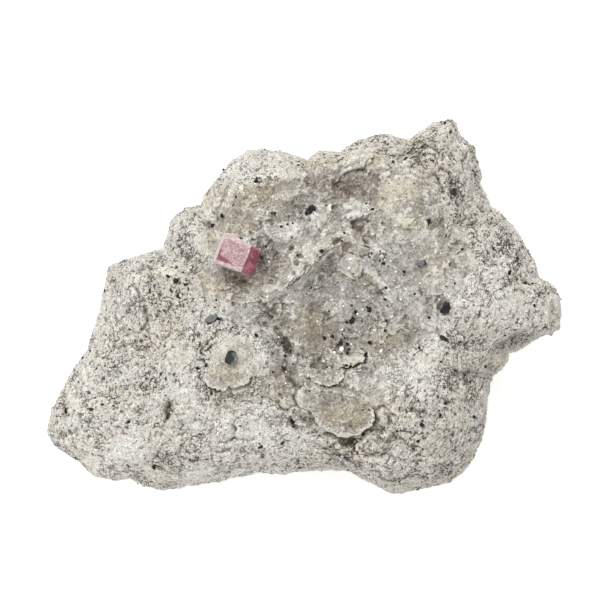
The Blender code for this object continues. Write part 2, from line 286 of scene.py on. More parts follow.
@dataclass(frozen=True)
class Ledge:
    """A broken step: the ground on the right of a line drops, and climbs back over its reach."""

    line: Places
    drop: float
    reach: float = 2.5
    sharp: float = 0.22

    def height(self, x: Array, y: Array) -> Array:
        """-drop times a step across the line, times exp(-(distance / reach)²), fading at both ends."""
        distance, side, share = along_line(from_photo(self.line), x, y)
        step = smooth(-0.3 * self.sharp, self.sharp, distance * side)
        ends = smooth(0.0, 0.12, share) * smooth(0.0, 0.12, 1.0 - share)
        return -self.drop * step * bell(distance, self.reach) * ends


@dataclass(frozen=True)
class Crack:
    """A groove along a line."""

    line: Places
    depth: float
    width: float

    def weight(self, x: Array, y: Array) -> Array:
        """exp(-(distance / width)²), fading at both ends, worked out only near the line."""
        line = from_photo(self.line)
        low, high = line.min(axis=0) - 3 * self.width, line.max(axis=0) + 3 * self.width
        near = np.flatnonzero((x > low[0]) & (x < high[0]) & (y > low[1]) & (y < high[1]))
        distance, _, share = along_line(line, x[near], y[near])
        ends = smooth(-0.02, 0.15, share) * smooth(-0.02, 0.15, 1.0 - share)
        found = np.zeros(x.shape)
        found[near] = bell(distance, self.width) * ends
        return found

    def height(self, x: Array, y: Array) -> Array:
        """-depth times the weight."""
        return -self.depth * self.weight(x, y)


@dataclass(frozen=True)
class Patch:
    """A patch of the surface inside a closed outline read from the photograph, with a soft edge."""

    outline: Places
    soft: float = 0.5

    def weight(self, x: Array, y: Array) -> Array:
        """1 well inside the outline and 0 well outside, by the signed distance to it."""
        ring = from_photo(self.outline)
        ring = np.vstack((ring, ring[:1]))
        distance = along_line(ring, x, y)[0]
        inside = np.zeros(x.shape, bool)
        for start, end in zip(ring, ring[1:]):
            crosses = (start[1] > y) != (end[1] > y)
            slope = (end[0] - start[0]) / (end[1] - start[1] + 1e-12)
            inside ^= crosses & (x < start[0] + (y - start[1]) * slope)
        return smooth(-self.soft, self.soft, np.where(inside, distance, -distance))


# The lump's widest outline from above, in pixels, clockwise from the tip of the left lobe.
OUTLINE: Places = (
    (47, 430), (52, 410), (63, 390), (76, 364), (88, 350), (98, 320), (104, 290), (108, 268), (122, 260),
    (145, 255), (163, 248), (168, 234), (171, 220), (185, 209), (202, 206), (205, 195), (218, 178),
    (230, 163), (249, 151), (270, 150), (295, 156), (308, 161), (318, 152), (340, 153), (357, 141),
    (382, 134), (396, 136.5), (408, 142), (422, 131), (440, 122), (452, 121), (460, 136), (473, 147),
    (479, 170), (480, 185), (490, 206), (513, 226), (525, 247), (534, 262), (538, 277), (556, 289),
    (560, 304), (558, 329), (540, 336), (524, 347), (508, 353), (507, 361), (491, 378), (487, 400),
    (481, 440), (465, 469), (450, 481), (420, 488.5), (394, 493), (380, 486.5), (352, 471.5), (335, 468.5),
    (300, 470), (272, 473.5), (260, 471.5), (233, 477), (213, 482), (190, 485), (163, 489.5), (150, 487),
    (130, 479), (110, 480), (95, 476), (80, 462), (55, 445),
)

# The same rises and hollows as the solid lump has, in millimetres.
SWELLS = tuple(Swell(*row) for row in (
    ((-5.7, 15.4), (5.6, 3.8), 2.2), ((-20.3, 0.8), (3.8, 4.7), 1.6), ((-18, -14.4), (7, 4.7), 1.3),
    ((4, -11.5), (5, 3), 0.5), ((6.5, -16.4), (3.8, 1.6), -0.7, 30), ((14.2, -14.4), (6.4, 5.3), 1.7),
    ((16.6, 17.1), (3.8, 4.5), 2.4), ((8.4, 17.1), (3.3, 2.1), 1.2), ((5.4, 13.6), (4.4, 2), -1.2),
    ((25.4, 4.5), (2, 2.1), -0.7), ((-2.4, -5.1), (1.9, 6), -1.2, 8), ((0.6, 5.6), (4.2, 2), 1.2, 45),
    ((-6.3, 3.2), (2.8, 1.7), -1.1, -25),
))
BASIN = Swell((6.8, -1.3), (8.4, 6.8), -2.6, 0.0, 2.0)

# Smaller rises and hollows, in pixels of the photograph.
DIMPLES = seen_swells(
    (261, 262, 6, 11, -0.7, 20, 1.4), (363, 233, 9, 11, -0.8, 30), (349, 441, 9, 6, -1.1, 0, 1.6),
    (169, 410, 4.5, 9, -1, 0, 1.5), (240, 279, 22, 6, -0.8, -20, 1.4), (266, 272, 9, 14, -0.5),
    (521, 268, 12, 15, -0.6, 0, 1.8), (413, 153, 5, 4, -0.8, 0, 1.4), (388, 152, 10, 8, -0.6),
    (445, 308, 6, 7, -0.7, 0, 1.5), (455, 322, 17, 20, 0.7, 0, 2), (382, 415, 6.5, 9, 0.6, 0, 2),
    (372, 441, 15, 10, 0.6, 10, 2), (344, 345, 8, 8, -0.5, 0, 1.4), (315, 363, 10, 8, -0.5),
    (268, 315, 12, 10, -0.5), (126, 308, 15, 22, 0.7, 0, 1.6), (187, 425, 12, 10, -0.5),
    (160, 476, 16, 9, 0.7, -10, 1.4), (183, 232, 14, 14, 0.6), (330, 162, 16, 8, 0.7),
    (357, 153, 14, 9, 0.5), (455, 195, 20, 24, 0.5), (465, 372, 15, 10, -0.6),
    (440, 408, 22, 10, -0.5, 20), (499, 362, 9, 10, 0.8, 0, 1.6), (230, 428, 18, 9, 0.4),
    (288, 400, 8, 7, 0.4, 0, 1.6), (288, 346, 4, 9, -0.5, 10, 1.4), (332, 260, 11, 7, -0.5, 40),
    (286, 401, 6.5, 6.5, 0.45, 0, 2), (224, 430, 10, 10, 0.6, 0, 2), (384, 287, 28, 4.5, 0.65, -38),
    (352, 244, 5, 14, 0.5, 45), (303, 276, 5, 18, 0.55, -50), (326, 248, 4.5, 14, 0.35, -50),
    (285, 196, 8, 8, 0.5, 0, 1.5), (284, 236, 10, 7, 0.45, 0, 1.3), (300, 222, 9, 8, 0.4),
    (320, 216, 9, 7, 0.4), (268, 212, 8, 6, 0.3), (352, 205, 10, 7, 0.4), (258, 234, 4, 8, -0.4),
    (275, 226, 5, 4, -0.4), (292, 206, 5, 4, -0.4), (308, 234, 5, 5, -0.4),
)

LEDGES = tuple(Ledge(*row) for row in (
    (((331, 188), (340, 175), (350, 170), (366, 168), (371, 160), (376, 147)), 0.8, 2.4),
    (((348, 223), (357, 219), (366, 217), (371, 223)), 0.45, 1.4),
    (((514, 275), (511, 258), (509, 240), (504, 228), (496, 216)), 0.6, 2.2),
    (((474, 366), (486, 351), (500, 337), (515, 333), (535, 329), (562, 326)), 1.8, 5, 1.2),
    (((200, 203), (207, 218), (206, 240), (200, 262)), -0.7, 2.6, 0.9),
    (((164, 251), (150, 262), (152, 285), (160, 305)), -0.5, 2.6, 0.9),
    (((228, 300), (250, 303), (270, 300), (287, 292)), 0.35, 1.6),
    (((452, 236), (468, 246), (482, 256), (492, 262), (500, 258)), 0.45, 1.6),
    (((250, 186), (262, 188), (276, 185), (290, 178)), 0.35, 1.4),
    (((212, 444), (222, 448), (236, 444), (250, 448), (262, 446)), 0.35, 1.3),
    (((450, 366), (458, 371), (468, 369), (480, 372)), 0.5, 1.3),
))

CRACKS = tuple(Crack(*row) for row in (
    (((441, 300), (437, 314), (436, 327), (438, 335), (447, 342)), 0.4, 0.22),
    (((418, 149), (425, 147), (432, 148), (440, 153)), 0.5, 0.25),
    (((430, 166), (435, 177), (440, 188), (443, 198)), 0.45, 0.22),
    (((448, 172), (450, 186), (450, 204)), 0.5, 0.25),
    (((431, 336), (419, 351), (409, 361), (404, 371), (399, 384)), 0.22, 0.22),
    (((414, 358), (407, 374), (398, 389), (388, 398)), 0.2, 0.2),
    (((132, 283), (139, 291), (140, 301)), 0.5, 0.22),
    (((144, 303), (147, 312), (148, 320), (145, 327), (139, 331)), 0.55, 0.22),
    (((111, 292), (115, 306), (121, 316)), 0.35, 0.22), (((128, 300), (131, 312), (128, 324)), 0.35, 0.2),
    (((110, 342), (121, 347), (135, 344), (142, 338)), 0.35, 0.22),
    (((274, 324), (280, 335), (287, 346), (292, 356)), 0.6, 0.28),
    (((279, 362), (288, 376), (297, 388), (294, 398), (301, 406)), 0.5, 0.28),
    (((376, 413), (379, 407), (384, 406), (388, 413), (388, 424)), 0.5, 0.2),
    (((357, 447), (368, 452), (380, 451), (389, 445), (392, 434)), 0.5, 0.25),
    (((289, 415), (293, 424), (300, 430)), 0.6, 0.3), (((206, 352), (212, 345), (220, 341)), 0.4, 0.2),
    (((170, 400), (171, 411), (167, 421)), 0.6, 0.25),
    (((380, 448), (395, 458), (410, 461), (426, 459)), 0.35, 0.25),
    (((440, 396), (446, 402), (452, 404)), 0.5, 0.25), (((176, 456), (182, 446), (186, 440)), 0.4, 0.25),
    (((330, 446), (338, 440), (345, 437)), 0.4, 0.25), (((505, 224), (510, 236), (511, 250)), 0.4, 0.2),
    (((222, 166), (220, 172)), 0.5, 0.2), (((65, 404), (66, 412), (66, 420)), 0.5, 0.2),
    (((220, 440), (232, 436), (246, 440), (262, 437)), 0.3, 0.22),
    (((205, 460), (222, 468), (236, 468)), 0.3, 0.22),
    (((280, 397), (279, 403), (283, 408), (289, 409)), 0.45, 0.16),
    (((231, 421), (236, 429), (234, 437), (226, 442), (217, 440)), 0.5, 0.2),
))

# The area where a drusy crust covers the rock.
CRUST_AREA = Patch((
    (214, 196), (236, 186), (262, 186), (290, 181), (308, 172), (322, 172), (338, 162), (352, 160),
    (366, 160), (374, 172), (402, 172), (428, 174), (437, 192), (440, 212), (456, 232), (468, 250),
    (470, 272), (456, 292), (441, 300), (434, 318), (430, 334), (414, 346), (398, 358), (384, 368),
    (382, 388), (380, 408), (368, 424), (346, 434), (324, 430), (304, 412), (292, 392), (276, 398),
    (262, 396), (262, 380), (276, 352), (262, 332), (230, 318), (212, 306), (196, 290), (196, 272),
    (208, 252), (206, 226),
), 0.7)

# Where the crust or rock is tan, brown, grey or chalk white, in places painted shade or light: rise says how
# much of the colour shows.
TAN_STAINS = seen_swells(
    (374, 440, 18, 10, 0.5), (172, 284, 22, 16, 0.35), (430, 146, 26, 20, 0.4), (462, 205, 14, 20, 0.35),
    (190, 268, 20, 12, 0.35), (215, 240, 10, 16, 0.4), (258, 198, 34, 14, 0.9), (236, 222, 18, 14, 0.7),
    (222, 288, 26, 12, 0.8), (345, 414, 34, 16, 0.9), (375, 158, 12, 14, 0.7), (330, 160, 18, 8, 0.5),
    (230, 372, 22, 14, 0.6), (402, 192, 26, 16, 0.7), (418, 222, 26, 16, 0.5), (440, 262, 20, 16, 0.4),
    (312, 325, 18, 22, 0.8), (385, 340, 24, 16, 0.6), (500, 366, 10, 12, 0.6), (345, 247, 16, 9, 0.6),
    (388, 412, 12, 14, 0.4), (160, 472, 16, 14, 0.6), (168, 280, 26, 14, 0.25), (280, 386, 18, 14, 0.5),
    (286, 401, 7, 7, 0.8), (366, 281, 8, 6, 0.7, -30), (300, 240, 10, 8, 0.5),
)
# Brown stains, and painted shade: the hollows beside and below the beryl, the gaps under plate and shelf
# edges, the underside of the right lobe and the valley at the top.
BROWN_TINT_AND_SHADE = seen_swells(
    (312, 325, 24, 30, 0.3), (342, 412, 34, 16, 0.3), (346, 326, 44, 28, 0.2), (408, 312, 26, 30, 0.13),
    (286, 401, 6, 6, 0.45), (385, 415, 4, 7, 0.4), (350, 190, 26, 13, 0.8), (322, 182, 14, 14, 0.5),
    (362, 233, 9, 12, 0.9), (268, 315, 14, 14, 0.7), (262, 270, 16, 20, 0.9), (236, 282, 28, 9, 0.95, -15),
    (326, 402, 26, 13, 0.6), (318, 342, 24, 22, 0.8), (312, 306, 16, 12, 0.5), (340, 342, 12, 14, 0.9),
    (315, 365, 12, 10, 0.9), (286, 345, 9, 18, 0.9), (286, 376, 12, 14, 0.7), (352, 318, 12, 8, 0.6),
    (348, 442, 11, 8, 1), (305, 418, 10, 12, 0.6), (235, 396, 24, 6, 0.8), (169, 410, 6, 11, 1),
    (222, 404, 12, 5, 0.5), (332, 262, 12, 8, 0.7, 40), (510, 341, 24, 8, 0.45, 12), (475, 376, 18, 12, 0.4),
    (405, 336, 16, 10, 0.4), (428, 182, 10, 10, 0.5), (436, 432, 34, 26, 0.25), (282, 250, 14, 14, 0.5),
    (445, 310, 8, 8, 0.7), (412, 160, 18, 8, 0.55), (440, 172, 12, 8, 0.4), (462, 400, 12, 8, 0.35),
    (372, 203, 14, 7, 0.5), (338, 225, 10, 7, 0.5), (296, 262, 10, 8, 0.45), (330, 300, 18, 8, 0.4),
    (300, 330, 12, 20, 0.45),
)
# Grey crust, and painted shade on the strips of the left edge where the surface falls away and on the ground
# below the beryl.
GREY_TINT_AND_SHADE = seen_swells(
    (395, 268, 40, 26, 0.7), (372, 318, 30, 24, 0.8), (320, 282, 26, 18, 0.7), (410, 300, 24, 22, 0.6),
    (310, 212, 30, 18, 0.4), (390, 240, 30, 14, 0.5), (318, 396, 20, 10, 0.5), (126, 308, 20, 30, 0.15),
    (112, 282, 12, 20, 0.2), (250, 300, 22, 12, 0.5),
)
# Chalk white; the bands along the lower rim are partly painted light that lifts the rim's shade.
CHALK_AND_RIM_LIGHT = seen_swells(
    (262, 200, 24, 12, 0.3), (395, 262, 24, 14, 0.5), (352, 270, 12, 12, 0.6), (318, 236, 12, 8, 0.5),
    (75, 395, 14, 20, 0.4), (235, 476, 110, 12, 0.9, 0, 1.6), (122, 306, 22, 30, 0.5, 0, 1.6),
    (262, 428, 66, 30, 0.95, 0, 1.8), (120, 455, 50, 18, 0.8, 15, 1.6), (408, 368, 30, 24, 0.9, 25, 1.6),
    (258, 165, 36, 16, 0.45, 0, 1.6), (480, 290, 40, 40, 0.5, 0, 1.6), (190, 398, 18, 16, 0.7),
    (478, 350, 18, 14, 0.5), (350, 358, 18, 7, 0.8), (348, 264, 14, 14, 0.7), (386, 284, 24, 6, 1, -38),
    (303, 274, 16, 7, 0.95, 40), (325, 248, 16, 8, 0.95, 40), (436, 330, 8, 22, 0.8),
    (78, 425, 24, 24, 0.55), (432, 140, 20, 12, 0.4), (300, 300, 10, 20, 0.4), (300, 250, 14, 14, 0.5),
    (228, 345, 22, 12, 0.6), (352, 240, 6, 15, 0.9, 45), (285, 196, 8, 8, 0.7), (284, 236, 10, 7, 0.7),
    (268, 288, 18, 5, 0.6, 8), (404, 220, 15, 8, 0.6), (385, 240, 18, 8, 0.6), (410, 250, 16, 10, 0.4),
    (230, 172, 14, 10, 0.5), (60, 430, 14, 14, 0.3),
)


# Bands where the rock's flow shows as fine ribs: rise is the ribs' height in millimetres.
FLOW_BANDS = seen_swells(
    (265, 432, 44, 30, 0.20, -30, 1.5), (215, 458, 40, 18, 0.16, -18, 1.5),
    (478, 320, 34, 20, 0.22, 58, 1.5), (408, 372, 30, 16, 0.11, 50, 1.5), (126, 308, 30, 18, 0.13, 80, 1.5),
    (452, 450, 34, 16, 0.16, 35, 1.5), (95, 400, 34, 22, 0.05, 60, 1.5), (430, 205, 28, 20, 0.16, -50, 1.5),
    (320, 455, 40, 12, 0.12, -5, 1.5),
)

# Where the rock is crumbly: rise says how much rougher it is.
CRUMBLY = seen_swells(
    (430, 152, 34, 28, 0.7), (512, 262, 26, 34, 0.45), (440, 430, 52, 42, 0.25), (372, 450, 30, 20, 0.3),
    (172, 284, 26, 22, 0.4), (150, 466, 34, 16, 0.2), (545, 305, 22, 26, 0.1),
)

# Dark grains of the photograph: x, y, width and height in pixels.
DARK_GRAINS = (
    (168, 277, 3, 5), (176, 282, 4, 3), (171, 290, 3, 3), (186, 285, 3, 4), (165, 297, 2.5, 2),
    (179, 298, 3, 5), (183, 272, 2.5, 3), (159, 285, 2, 2.5), (232, 262, 2, 2), (216, 300, 3, 2),
    (256.5, 182, 2.5, 7), (281, 227, 3.5, 3), (292, 223, 3, 2), (241.5, 238, 5, 2.2), (252, 239, 3.5, 2),
    (265, 247, 3, 2), (297.5, 256, 5, 1.8), (307, 214, 6, 3), (312, 208, 4, 3.5), (366, 203.5, 3, 2),
    (341.5, 242, 2, 2), (369, 256, 2, 3.5), (380, 251, 2.5, 2), (383, 264, 3, 6), (333, 271, 4, 1.6),
    (307, 294.5, 3, 1.8), (329, 312, 3, 2), (347.5, 322, 3, 3), (384, 330, 6, 1.8), (282, 343, 2, 3),
    (290, 350, 2.5, 3), (286, 356, 2, 4.5), (274, 371, 2, 3), (295, 387, 3, 2), (300, 386, 2.5, 2.5),
    (256, 335, 5, 2), (345, 365, 4, 1.8), (333, 384, 5, 1.6), (236, 198, 3, 2), (234, 205, 3, 2),
    (212, 226, 4, 5), (299, 192, 2, 1.5), (337, 186, 2.2, 2.2), (379, 180.5, 3, 1.6), (384, 181, 1.6, 3),
    (346.5, 343, 4, 3), (341, 353, 4, 3), (348, 349, 3, 3), (324, 338, 6, 3.5), (332, 336, 3.5, 3),
    (356, 312, 6, 4), (368, 309, 6, 5), (351, 321, 8, 4), (382, 264, 3, 3), (403, 272, 3, 3),
    (414, 293, 3, 3), (428, 318, 3, 4), (419, 347, 3, 3), (384, 299, 3, 3), (461, 249, 3, 4),
    (455, 283, 3, 3), (368, 342, 2, 7), (372, 209, 5, 3), (428, 221, 6, 5), (344, 233, 4, 3),
    (222, 169, 3, 6), (223, 217, 2, 5), (212, 226, 3, 6), (257, 178, 3, 3), (129, 421, 4, 3),
    (154, 468, 4, 4), (128, 465, 3, 3), (233, 294, 3, 2), (257, 335, 4, 3), (197, 367, 4, 2.5),
    (206, 365, 4, 3), (293, 422, 4, 6), (509, 272, 4, 6), (525, 283, 3, 4), (531, 284, 3, 3),
    (511, 340, 4, 3), (485, 367, 3, 4), (465, 375, 3, 3), (444, 402, 4, 3), (413, 153, 5, 4),
    (66, 411, 2.5, 8), (269, 385, 3, 2), (322, 250, 6, 3), (450, 132, 3, 4), (406, 158, 4, 4),
    (303, 168, 3, 2), (276, 214, 3, 2), (176, 280, 5, 5), (178, 296, 3, 4), (151, 292, 3, 2),
    (162, 374, 3, 2), (166, 378, 3, 4), (105, 291, 2, 4), (106, 335, 2, 3), (213, 393, 3, 3),
    (350, 366, 5, 2.5), (365, 354, 4, 3), (370, 388, 3, 2), (397, 431, 3, 3), (421, 424, 4, 5),
    (418, 440, 5, 4), (440, 415, 4, 3), (473, 416, 3, 4), (282, 443, 4, 3), (261, 447, 6, 2.5),
    (241, 426, 3, 2),
)

# Sparkling facets, painted as glints, of the photograph: x, y, width and height in pixels.
SPARKLES = (
    (341, 348.5, 6, 5.5), (335, 352, 3, 3), (380, 350, 5, 2), (357, 313, 3, 2), (341, 330, 2, 2),
    (351, 259, 3, 2), (348, 268, 2.5, 3.5), (365, 284, 2, 2), (358, 297, 2, 2), (343, 290, 2, 2),
    (344, 306, 2, 2), (362, 309, 2, 2), (405, 290, 2, 2), (420, 284, 2, 2), (333, 300, 2, 2),
    (318, 322, 2, 2), (373, 330, 1.8, 1.8), (395, 272, 2, 2), (390, 262, 2, 2), (401, 300, 2, 2),
    (286, 383, 2, 2), (279, 337, 2, 2), (171, 412, 2, 2), (323, 361, 2, 2), (207, 371, 2, 2),
    (269, 262, 2, 2), (300, 186, 2, 2), (372, 235, 2.5, 2), (287, 372, 2, 2), (218, 432, 2, 2),
    (223, 444, 2, 2), (255, 184, 2, 2), (330, 210, 2, 2), (480, 259, 2, 2), (350, 344, 2, 2),
)


# Small pale bumps (rise over 0) and brown hollows (under 0) of the crust, as shares of full colour; the brown
# is partly painted shade.
SPOTS = seen_swells(
    (288, 196, 8, 6, 0.7), (295, 233, 8, 8, 0.7), (285, 226, 6, 4, 0.7), (274, 232, 4, 4, 0.5),
    (318, 218, 9, 8, 0.5), (329, 208, 2.5, 3, 0.9), (303, 252, 5, 5, 0.7), (322, 246, 4, 6, 0.6),
    (308, 258, 10, 5, 0.8, 15), (300, 271, 8, 5, 0.95, 45), (292, 281, 7, 4, 0.95, 45),
    (311, 262, 5, 5, 0.9), (341, 235, 5, 3.5, 1), (349, 232, 5, 2.5, 0.9), (357, 241, 10, 4, 0.9, -45),
    (373, 248, 8, 3.5, 1, -15), (356, 215, 12, 3.5, 0.8, 5), (356, 207, 12, 7, 0.5),
    (385, 176, 6, 2, 0.9, 20), (385, 185, 9, 7, 0.6), (404, 222, 10, 5, 0.8), (353, 262, 6, 6, 0.7),
    (356, 272, 5, 8, 0.7), (370, 271, 6, 4, 0.8, -40), (380, 282, 9, 4.5, 0.95, -45),
    (391, 296, 8, 5, 0.95, -60), (382, 322, 5, 5, 0.7), (327, 306, 4.5, 4.5, 0.7), (293, 315, 3, 6, 0.7),
    (296, 344, 3, 7, 0.8), (348, 358, 14, 5, 0.9), (338, 380, 5, 4, 0.6), (305, 362, 2, 6, 0.6),
    (258, 345, 5, 5, 0.6), (262, 358, 5, 4, 0.6), (256, 236, 3, 5, 0.5), (424, 196, 3, 6, 0.6),
    (412, 178, 8, 2, 0.7, -20), (436, 325, 4, 12, 0.9), (447, 290, 6, 8, 0.5), (418, 300, 8, 5, 0.4),
    (268, 288, 14, 3.5, 0.6, 8), (310, 408, 6, 3, 0.6), (300, 399, 4, 6, 0.5), (352, 434, 12, 2, 0.9),
    (370, 424, 6, 2.5, 0.8, 40), (268, 255, 8, 8, -0.8), (262, 245, 5, 3, -0.7), (276, 306, 4, 4, -0.9),
    (267, 315, 7, 6, -0.9), (286, 344, 3.5, 8, -1), (285, 366, 3, 6, -0.7), (316, 363, 6, 5, -0.8),
    (324, 366, 3, 3, -0.9), (327, 317, 4, 4, -0.8), (341, 192, 2.5, 6, -1), (335, 190, 4, 10, -0.8),
    (337, 176, 3, 5, -0.6), (352, 191, 11, 5, -0.6), (364, 194, 3.5, 3, -0.9), (360, 229, 5, 4, -0.9),
    (366, 240, 4, 5, -0.9), (354, 225, 3, 4, -0.7), (337, 241, 6, 3, -0.7), (344, 246, 5, 5, -0.7),
    (335, 210, 4, 4, -0.5), (331, 222, 3, 3, -0.6), (316, 237, 5, 2.5, -0.7), (300, 256, 3, 2, -0.9),
    (292, 248, 2.5, 2.5, -0.9), (297, 263, 3, 2.5, -0.8), (253, 206, 3, 2, -0.7), (270, 222, 8, 3, -0.5, 10),
    (262, 225, 3, 3, -0.6), (307, 180, 3, 2.5, -0.7), (313, 182, 4, 8, -0.5), (302, 207, 4, 2, -0.7),
    (383, 199, 2, 1.5, -0.9), (374, 193, 3, 4, -0.7), (379, 293, 3, 2.5, -0.7), (375, 299, 4, 4, -0.5),
    (355, 279, 5, 1.6, -0.9, 35), (331, 263, 14, 7, -0.4, 40), (395, 262, 3, 4, -0.5),
    (378, 258, 5, 4, -0.5), (372, 236, 3, 3, -0.9), (336, 335, 6, 5, -0.7), (346, 334, 5, 5, -0.7),
    (337, 346, 3, 4, -0.9), (348, 350, 4, 5, -0.8), (311, 297, 3, 2, -0.6), (308, 318, 3, 2, -0.6),
    (316, 332, 11, 8, -0.4), (300, 384, 6, 4, -0.7), (290, 376, 5, 6, -0.7), (310, 420, 7, 5, -0.8),
    (300, 411, 4, 3, -0.7), (348, 441, 9, 4, -1), (364, 434, 7, 2.5, -0.9, 40), (345, 387, 8, 3, -0.6, 30),
    (362, 369, 8, 2.5, -0.6, 10), (409, 336, 8, 5, -0.4), (442, 302, 5, 5, -0.8), (430, 226, 4, 5, -0.6),
    (422, 268, 8, 5, -0.3),
)


def strongest(swells: Sequence[Swell], x: Array, y: Array) -> Array:
    """How much a kind of colour shows at each place: the largest of the swells' weights times rises."""
    found = np.zeros(x.shape)
    for swell in swells:
        found = np.maximum(found, swell.height(x, y))
    return found


def spotted(x: Array, y: Array) -> Array:
    """The spots at each place: each one's rise where its bell, frayed by noise, is over a third."""
    fray = 1.15 * Noise(12).layered(flat(x, y), 1.25, 4, 0.65)
    found = np.zeros(x.shape)
    for spot in SPOTS:
        reach = 2.2 * max(spot.radii)
        near = np.flatnonzero((np.abs(x - spot.at[0]) < reach) & (np.abs(y - spot.at[1]) < reach))
        height = spot.rise * smooth(0.27, 0.45, spot.weight(x[near], y[near]) + fray[near])
        found[near] = np.where(np.abs(height) > np.abs(found[near]), height, found[near])
    return found


@dataclass(frozen=True)
class DiscGrid:
    """A square grid laid over a disc by the equal-area map, so that its cells stay nearly square."""

    count: int

    def polar(self) -> tuple[Array, Array]:
        """Share of the radius and angle of every grid point, row by row."""
        line = np.linspace(-1.0, 1.0, self.count)
        u, v = np.meshgrid(line, line, indexing="ij")
        wide = np.abs(u) > np.abs(v)
        share = np.where(wide, np.abs(u), np.abs(v))
        safe_u, safe_v = np.where(u == 0, 1.0, u), np.where(v == 0, 1.0, v)
        turn = np.where(wide, math.pi / 4 * v / safe_u, math.pi / 2 - math.pi / 4 * u / safe_v)
        angle = np.where(wide, turn + np.where(u < 0, math.pi, 0.0), turn + np.where(v < 0, math.pi, 0.0))
        return share.ravel(), angle.ravel()

    def quads(self) -> Array:
        """Corner numbers of the cells, anticlockwise from above."""
        at = np.arange(self.count**2).reshape(self.count, self.count)
        return np.stack((at[:-1, :-1], at[1:, :-1], at[1:, 1:], at[:-1, 1:]), axis=-1).reshape(-1, 4)

    def border(self) -> Array:
        """Numbers of the edge's points, anticlockwise, from the corner of least x and y."""
        at = np.arange(self.count**2).reshape(self.count, self.count)
        return np.concatenate((at[:-1, 0], at[-1, :-1], at[:0:-1, -1], at[0, :0:-1]))


@dataclass
class Skin:
    """A closed surface: points, its quads and triangles, and a number for each point in named layers."""

    points: Array
    quads: Array
    triangles: Array
    layers: Layers

    def to_object(self, name: str, material: Material, smooth_faces: bool = True) -> Object:
        """Makes the mesh and its object, in metres.

        Args:
            name: the piece's name.
            material: its finish.
            smooth_faces: whether the faces are shaded smooth.

        Returns:
            The new object, at the origin.
        """
        mesh = bpy.data.meshes.new(name)
        quads, triangles = self.quads, self.triangles
        corners = np.concatenate((quads.ravel(), triangles.ravel())).astype(np.int32)
        sizes = np.concatenate((np.full(len(quads), 4), np.full(len(triangles), 3)))
        starts = np.concatenate(([0], np.cumsum(sizes)[:-1])).astype(np.int32)
        mesh.vertices.add(len(self.points))
        mesh.vertices.foreach_set("co", (self.points * MM).astype(np.float32).ravel())
        mesh.loops.add(len(corners))
        mesh.loops.foreach_set("vertex_index", corners)
        mesh.polygons.add(len(sizes))
        mesh.polygons.foreach_set("loop_start", starts)
        mesh.polygons.foreach_set("use_smooth", np.full(len(sizes), smooth_faces))
        for label, values in self.layers.items():
            layer = mesh.attributes.new(label, "FLOAT", "POINT")
            layer.data.foreach_set("value", np.asarray(values, np.float32))
        mesh.update(calc_edges=True)
        mesh.validate()
        mesh.materials.append(material)
        return placed(name, mesh)


def ring_strips(rings: Sequence[Array], first: int) -> tuple[Array, Array]:
    """Faces between rings of points that lie under one another, closed at the last by its middle.

    Each ring has as many points as the one before or half as many, and all run anticlockwise.

    Args:
        rings: the point numbers of the first ring, then the points of each ring below it.
        first: the number that the first point of the second ring gets.

    Returns:
        The quads and the triangles.
    """
    quads, triangles = [], []
    upper, number = rings[0], first
    for ring in rings[1:]:
        lower = np.arange(number, number + len(ring))
        number += len(ring)
        if len(lower) == len(upper):
            quads.append(np.stack((upper, lower, np.roll(lower, -1), np.roll(upper, -1)), axis=-1))
        else:
            even, odd, following = upper[::2], upper[1::2], np.roll(lower, -1)
            for trio in ((even, lower, odd), (odd, lower, following), (odd, following, np.roll(even, -1))):
                triangles.append(np.stack(trio, axis=-1))
        upper = lower
    hub = np.full(len(upper), number)
    triangles.append(np.stack((upper, hub, np.roll(upper, -1)), axis=-1))
    return np.concatenate(quads) if quads else np.zeros((0, 4), int), np.concatenate(triangles)


def closed(
    grid: DiscGrid, face: Array, below: Sequence[Array], hub: Array, layers: Layers, cavity: float = 0.0
) -> Skin:
    """A disc closed from below by rings of points under its border and by a last point.

    Args:
        grid: the disc's grid.
        face: its points.
        below: the rings' points, from the border on.
        hub: the last point.
        layers: the layers of the face, which get 0 on the rings.
        cavity: the value of the painted shade layer on the rings instead.

    Returns:
        The closed skin.
    """
    quads, triangles = ring_strips([grid.border(), *below], len(face))
    points = np.vstack((face, *below, hub[None]))
    extra = len(points) - len(face)
    full = {
        name: np.concatenate((values, np.full(extra, cavity * (name == "cavity"))))
        for name, values in layers.items()
    }
    return Skin(points, np.concatenate((grid.quads(), quads)), triangles, full)


def capped(rows: int, around: int, clockwise: bool = False) -> tuple[Array, Array]:
    """Quads and triangles of stacked rings of points, whose ends close at two more points."""
    at = np.arange(rows * around).reshape(rows, around)
    following = np.roll(at, -1, axis=1)
    quads = np.stack((at[:-1], following[:-1], following[1:], at[1:]), axis=-1).reshape(-1, 4)
    low = np.stack((np.full(around, at.size), following[0], at[0]), axis=-1)
    high = np.stack((np.full(around, at.size + 1), at[-1], following[-1]), axis=-1)
    triangles = np.vstack((low, high))
    return (quads[:, [0, 3, 2, 1]], triangles[:, [0, 2, 1]]) if clockwise else (quads, triangles)


def grid_cross(points: Array, count: int) -> Array:
    """Cross product of a square grid's two slopes: it points outwards, as long as a cell is large."""
    grid = points.reshape(count, count, 3)
    return np.cross(np.gradient(grid, axis=0), np.gradient(grid, axis=1)).reshape(-1, 3)


def blurred(values: Array, count: int, reach: int) -> Array:
    """Box blur of a square grid of values, twice over, with the edge values carried on."""
    grid = values.reshape(count, count)
    for _ in range(2):
        for axis in (0, 1):
            width = [(0, 0), (0, 0)]
            width[axis] = (reach + 1, reach)
            total = np.cumsum(np.pad(grid, width, mode="edge"), axis=axis)
            high = np.take(total, range(2 * reach + 1, total.shape[axis]), axis=axis)
            low = np.take(total, range(0, total.shape[axis] - 2 * reach - 1), axis=axis)
            grid = (high - low) / (2 * reach + 1)
    return grid.ravel()


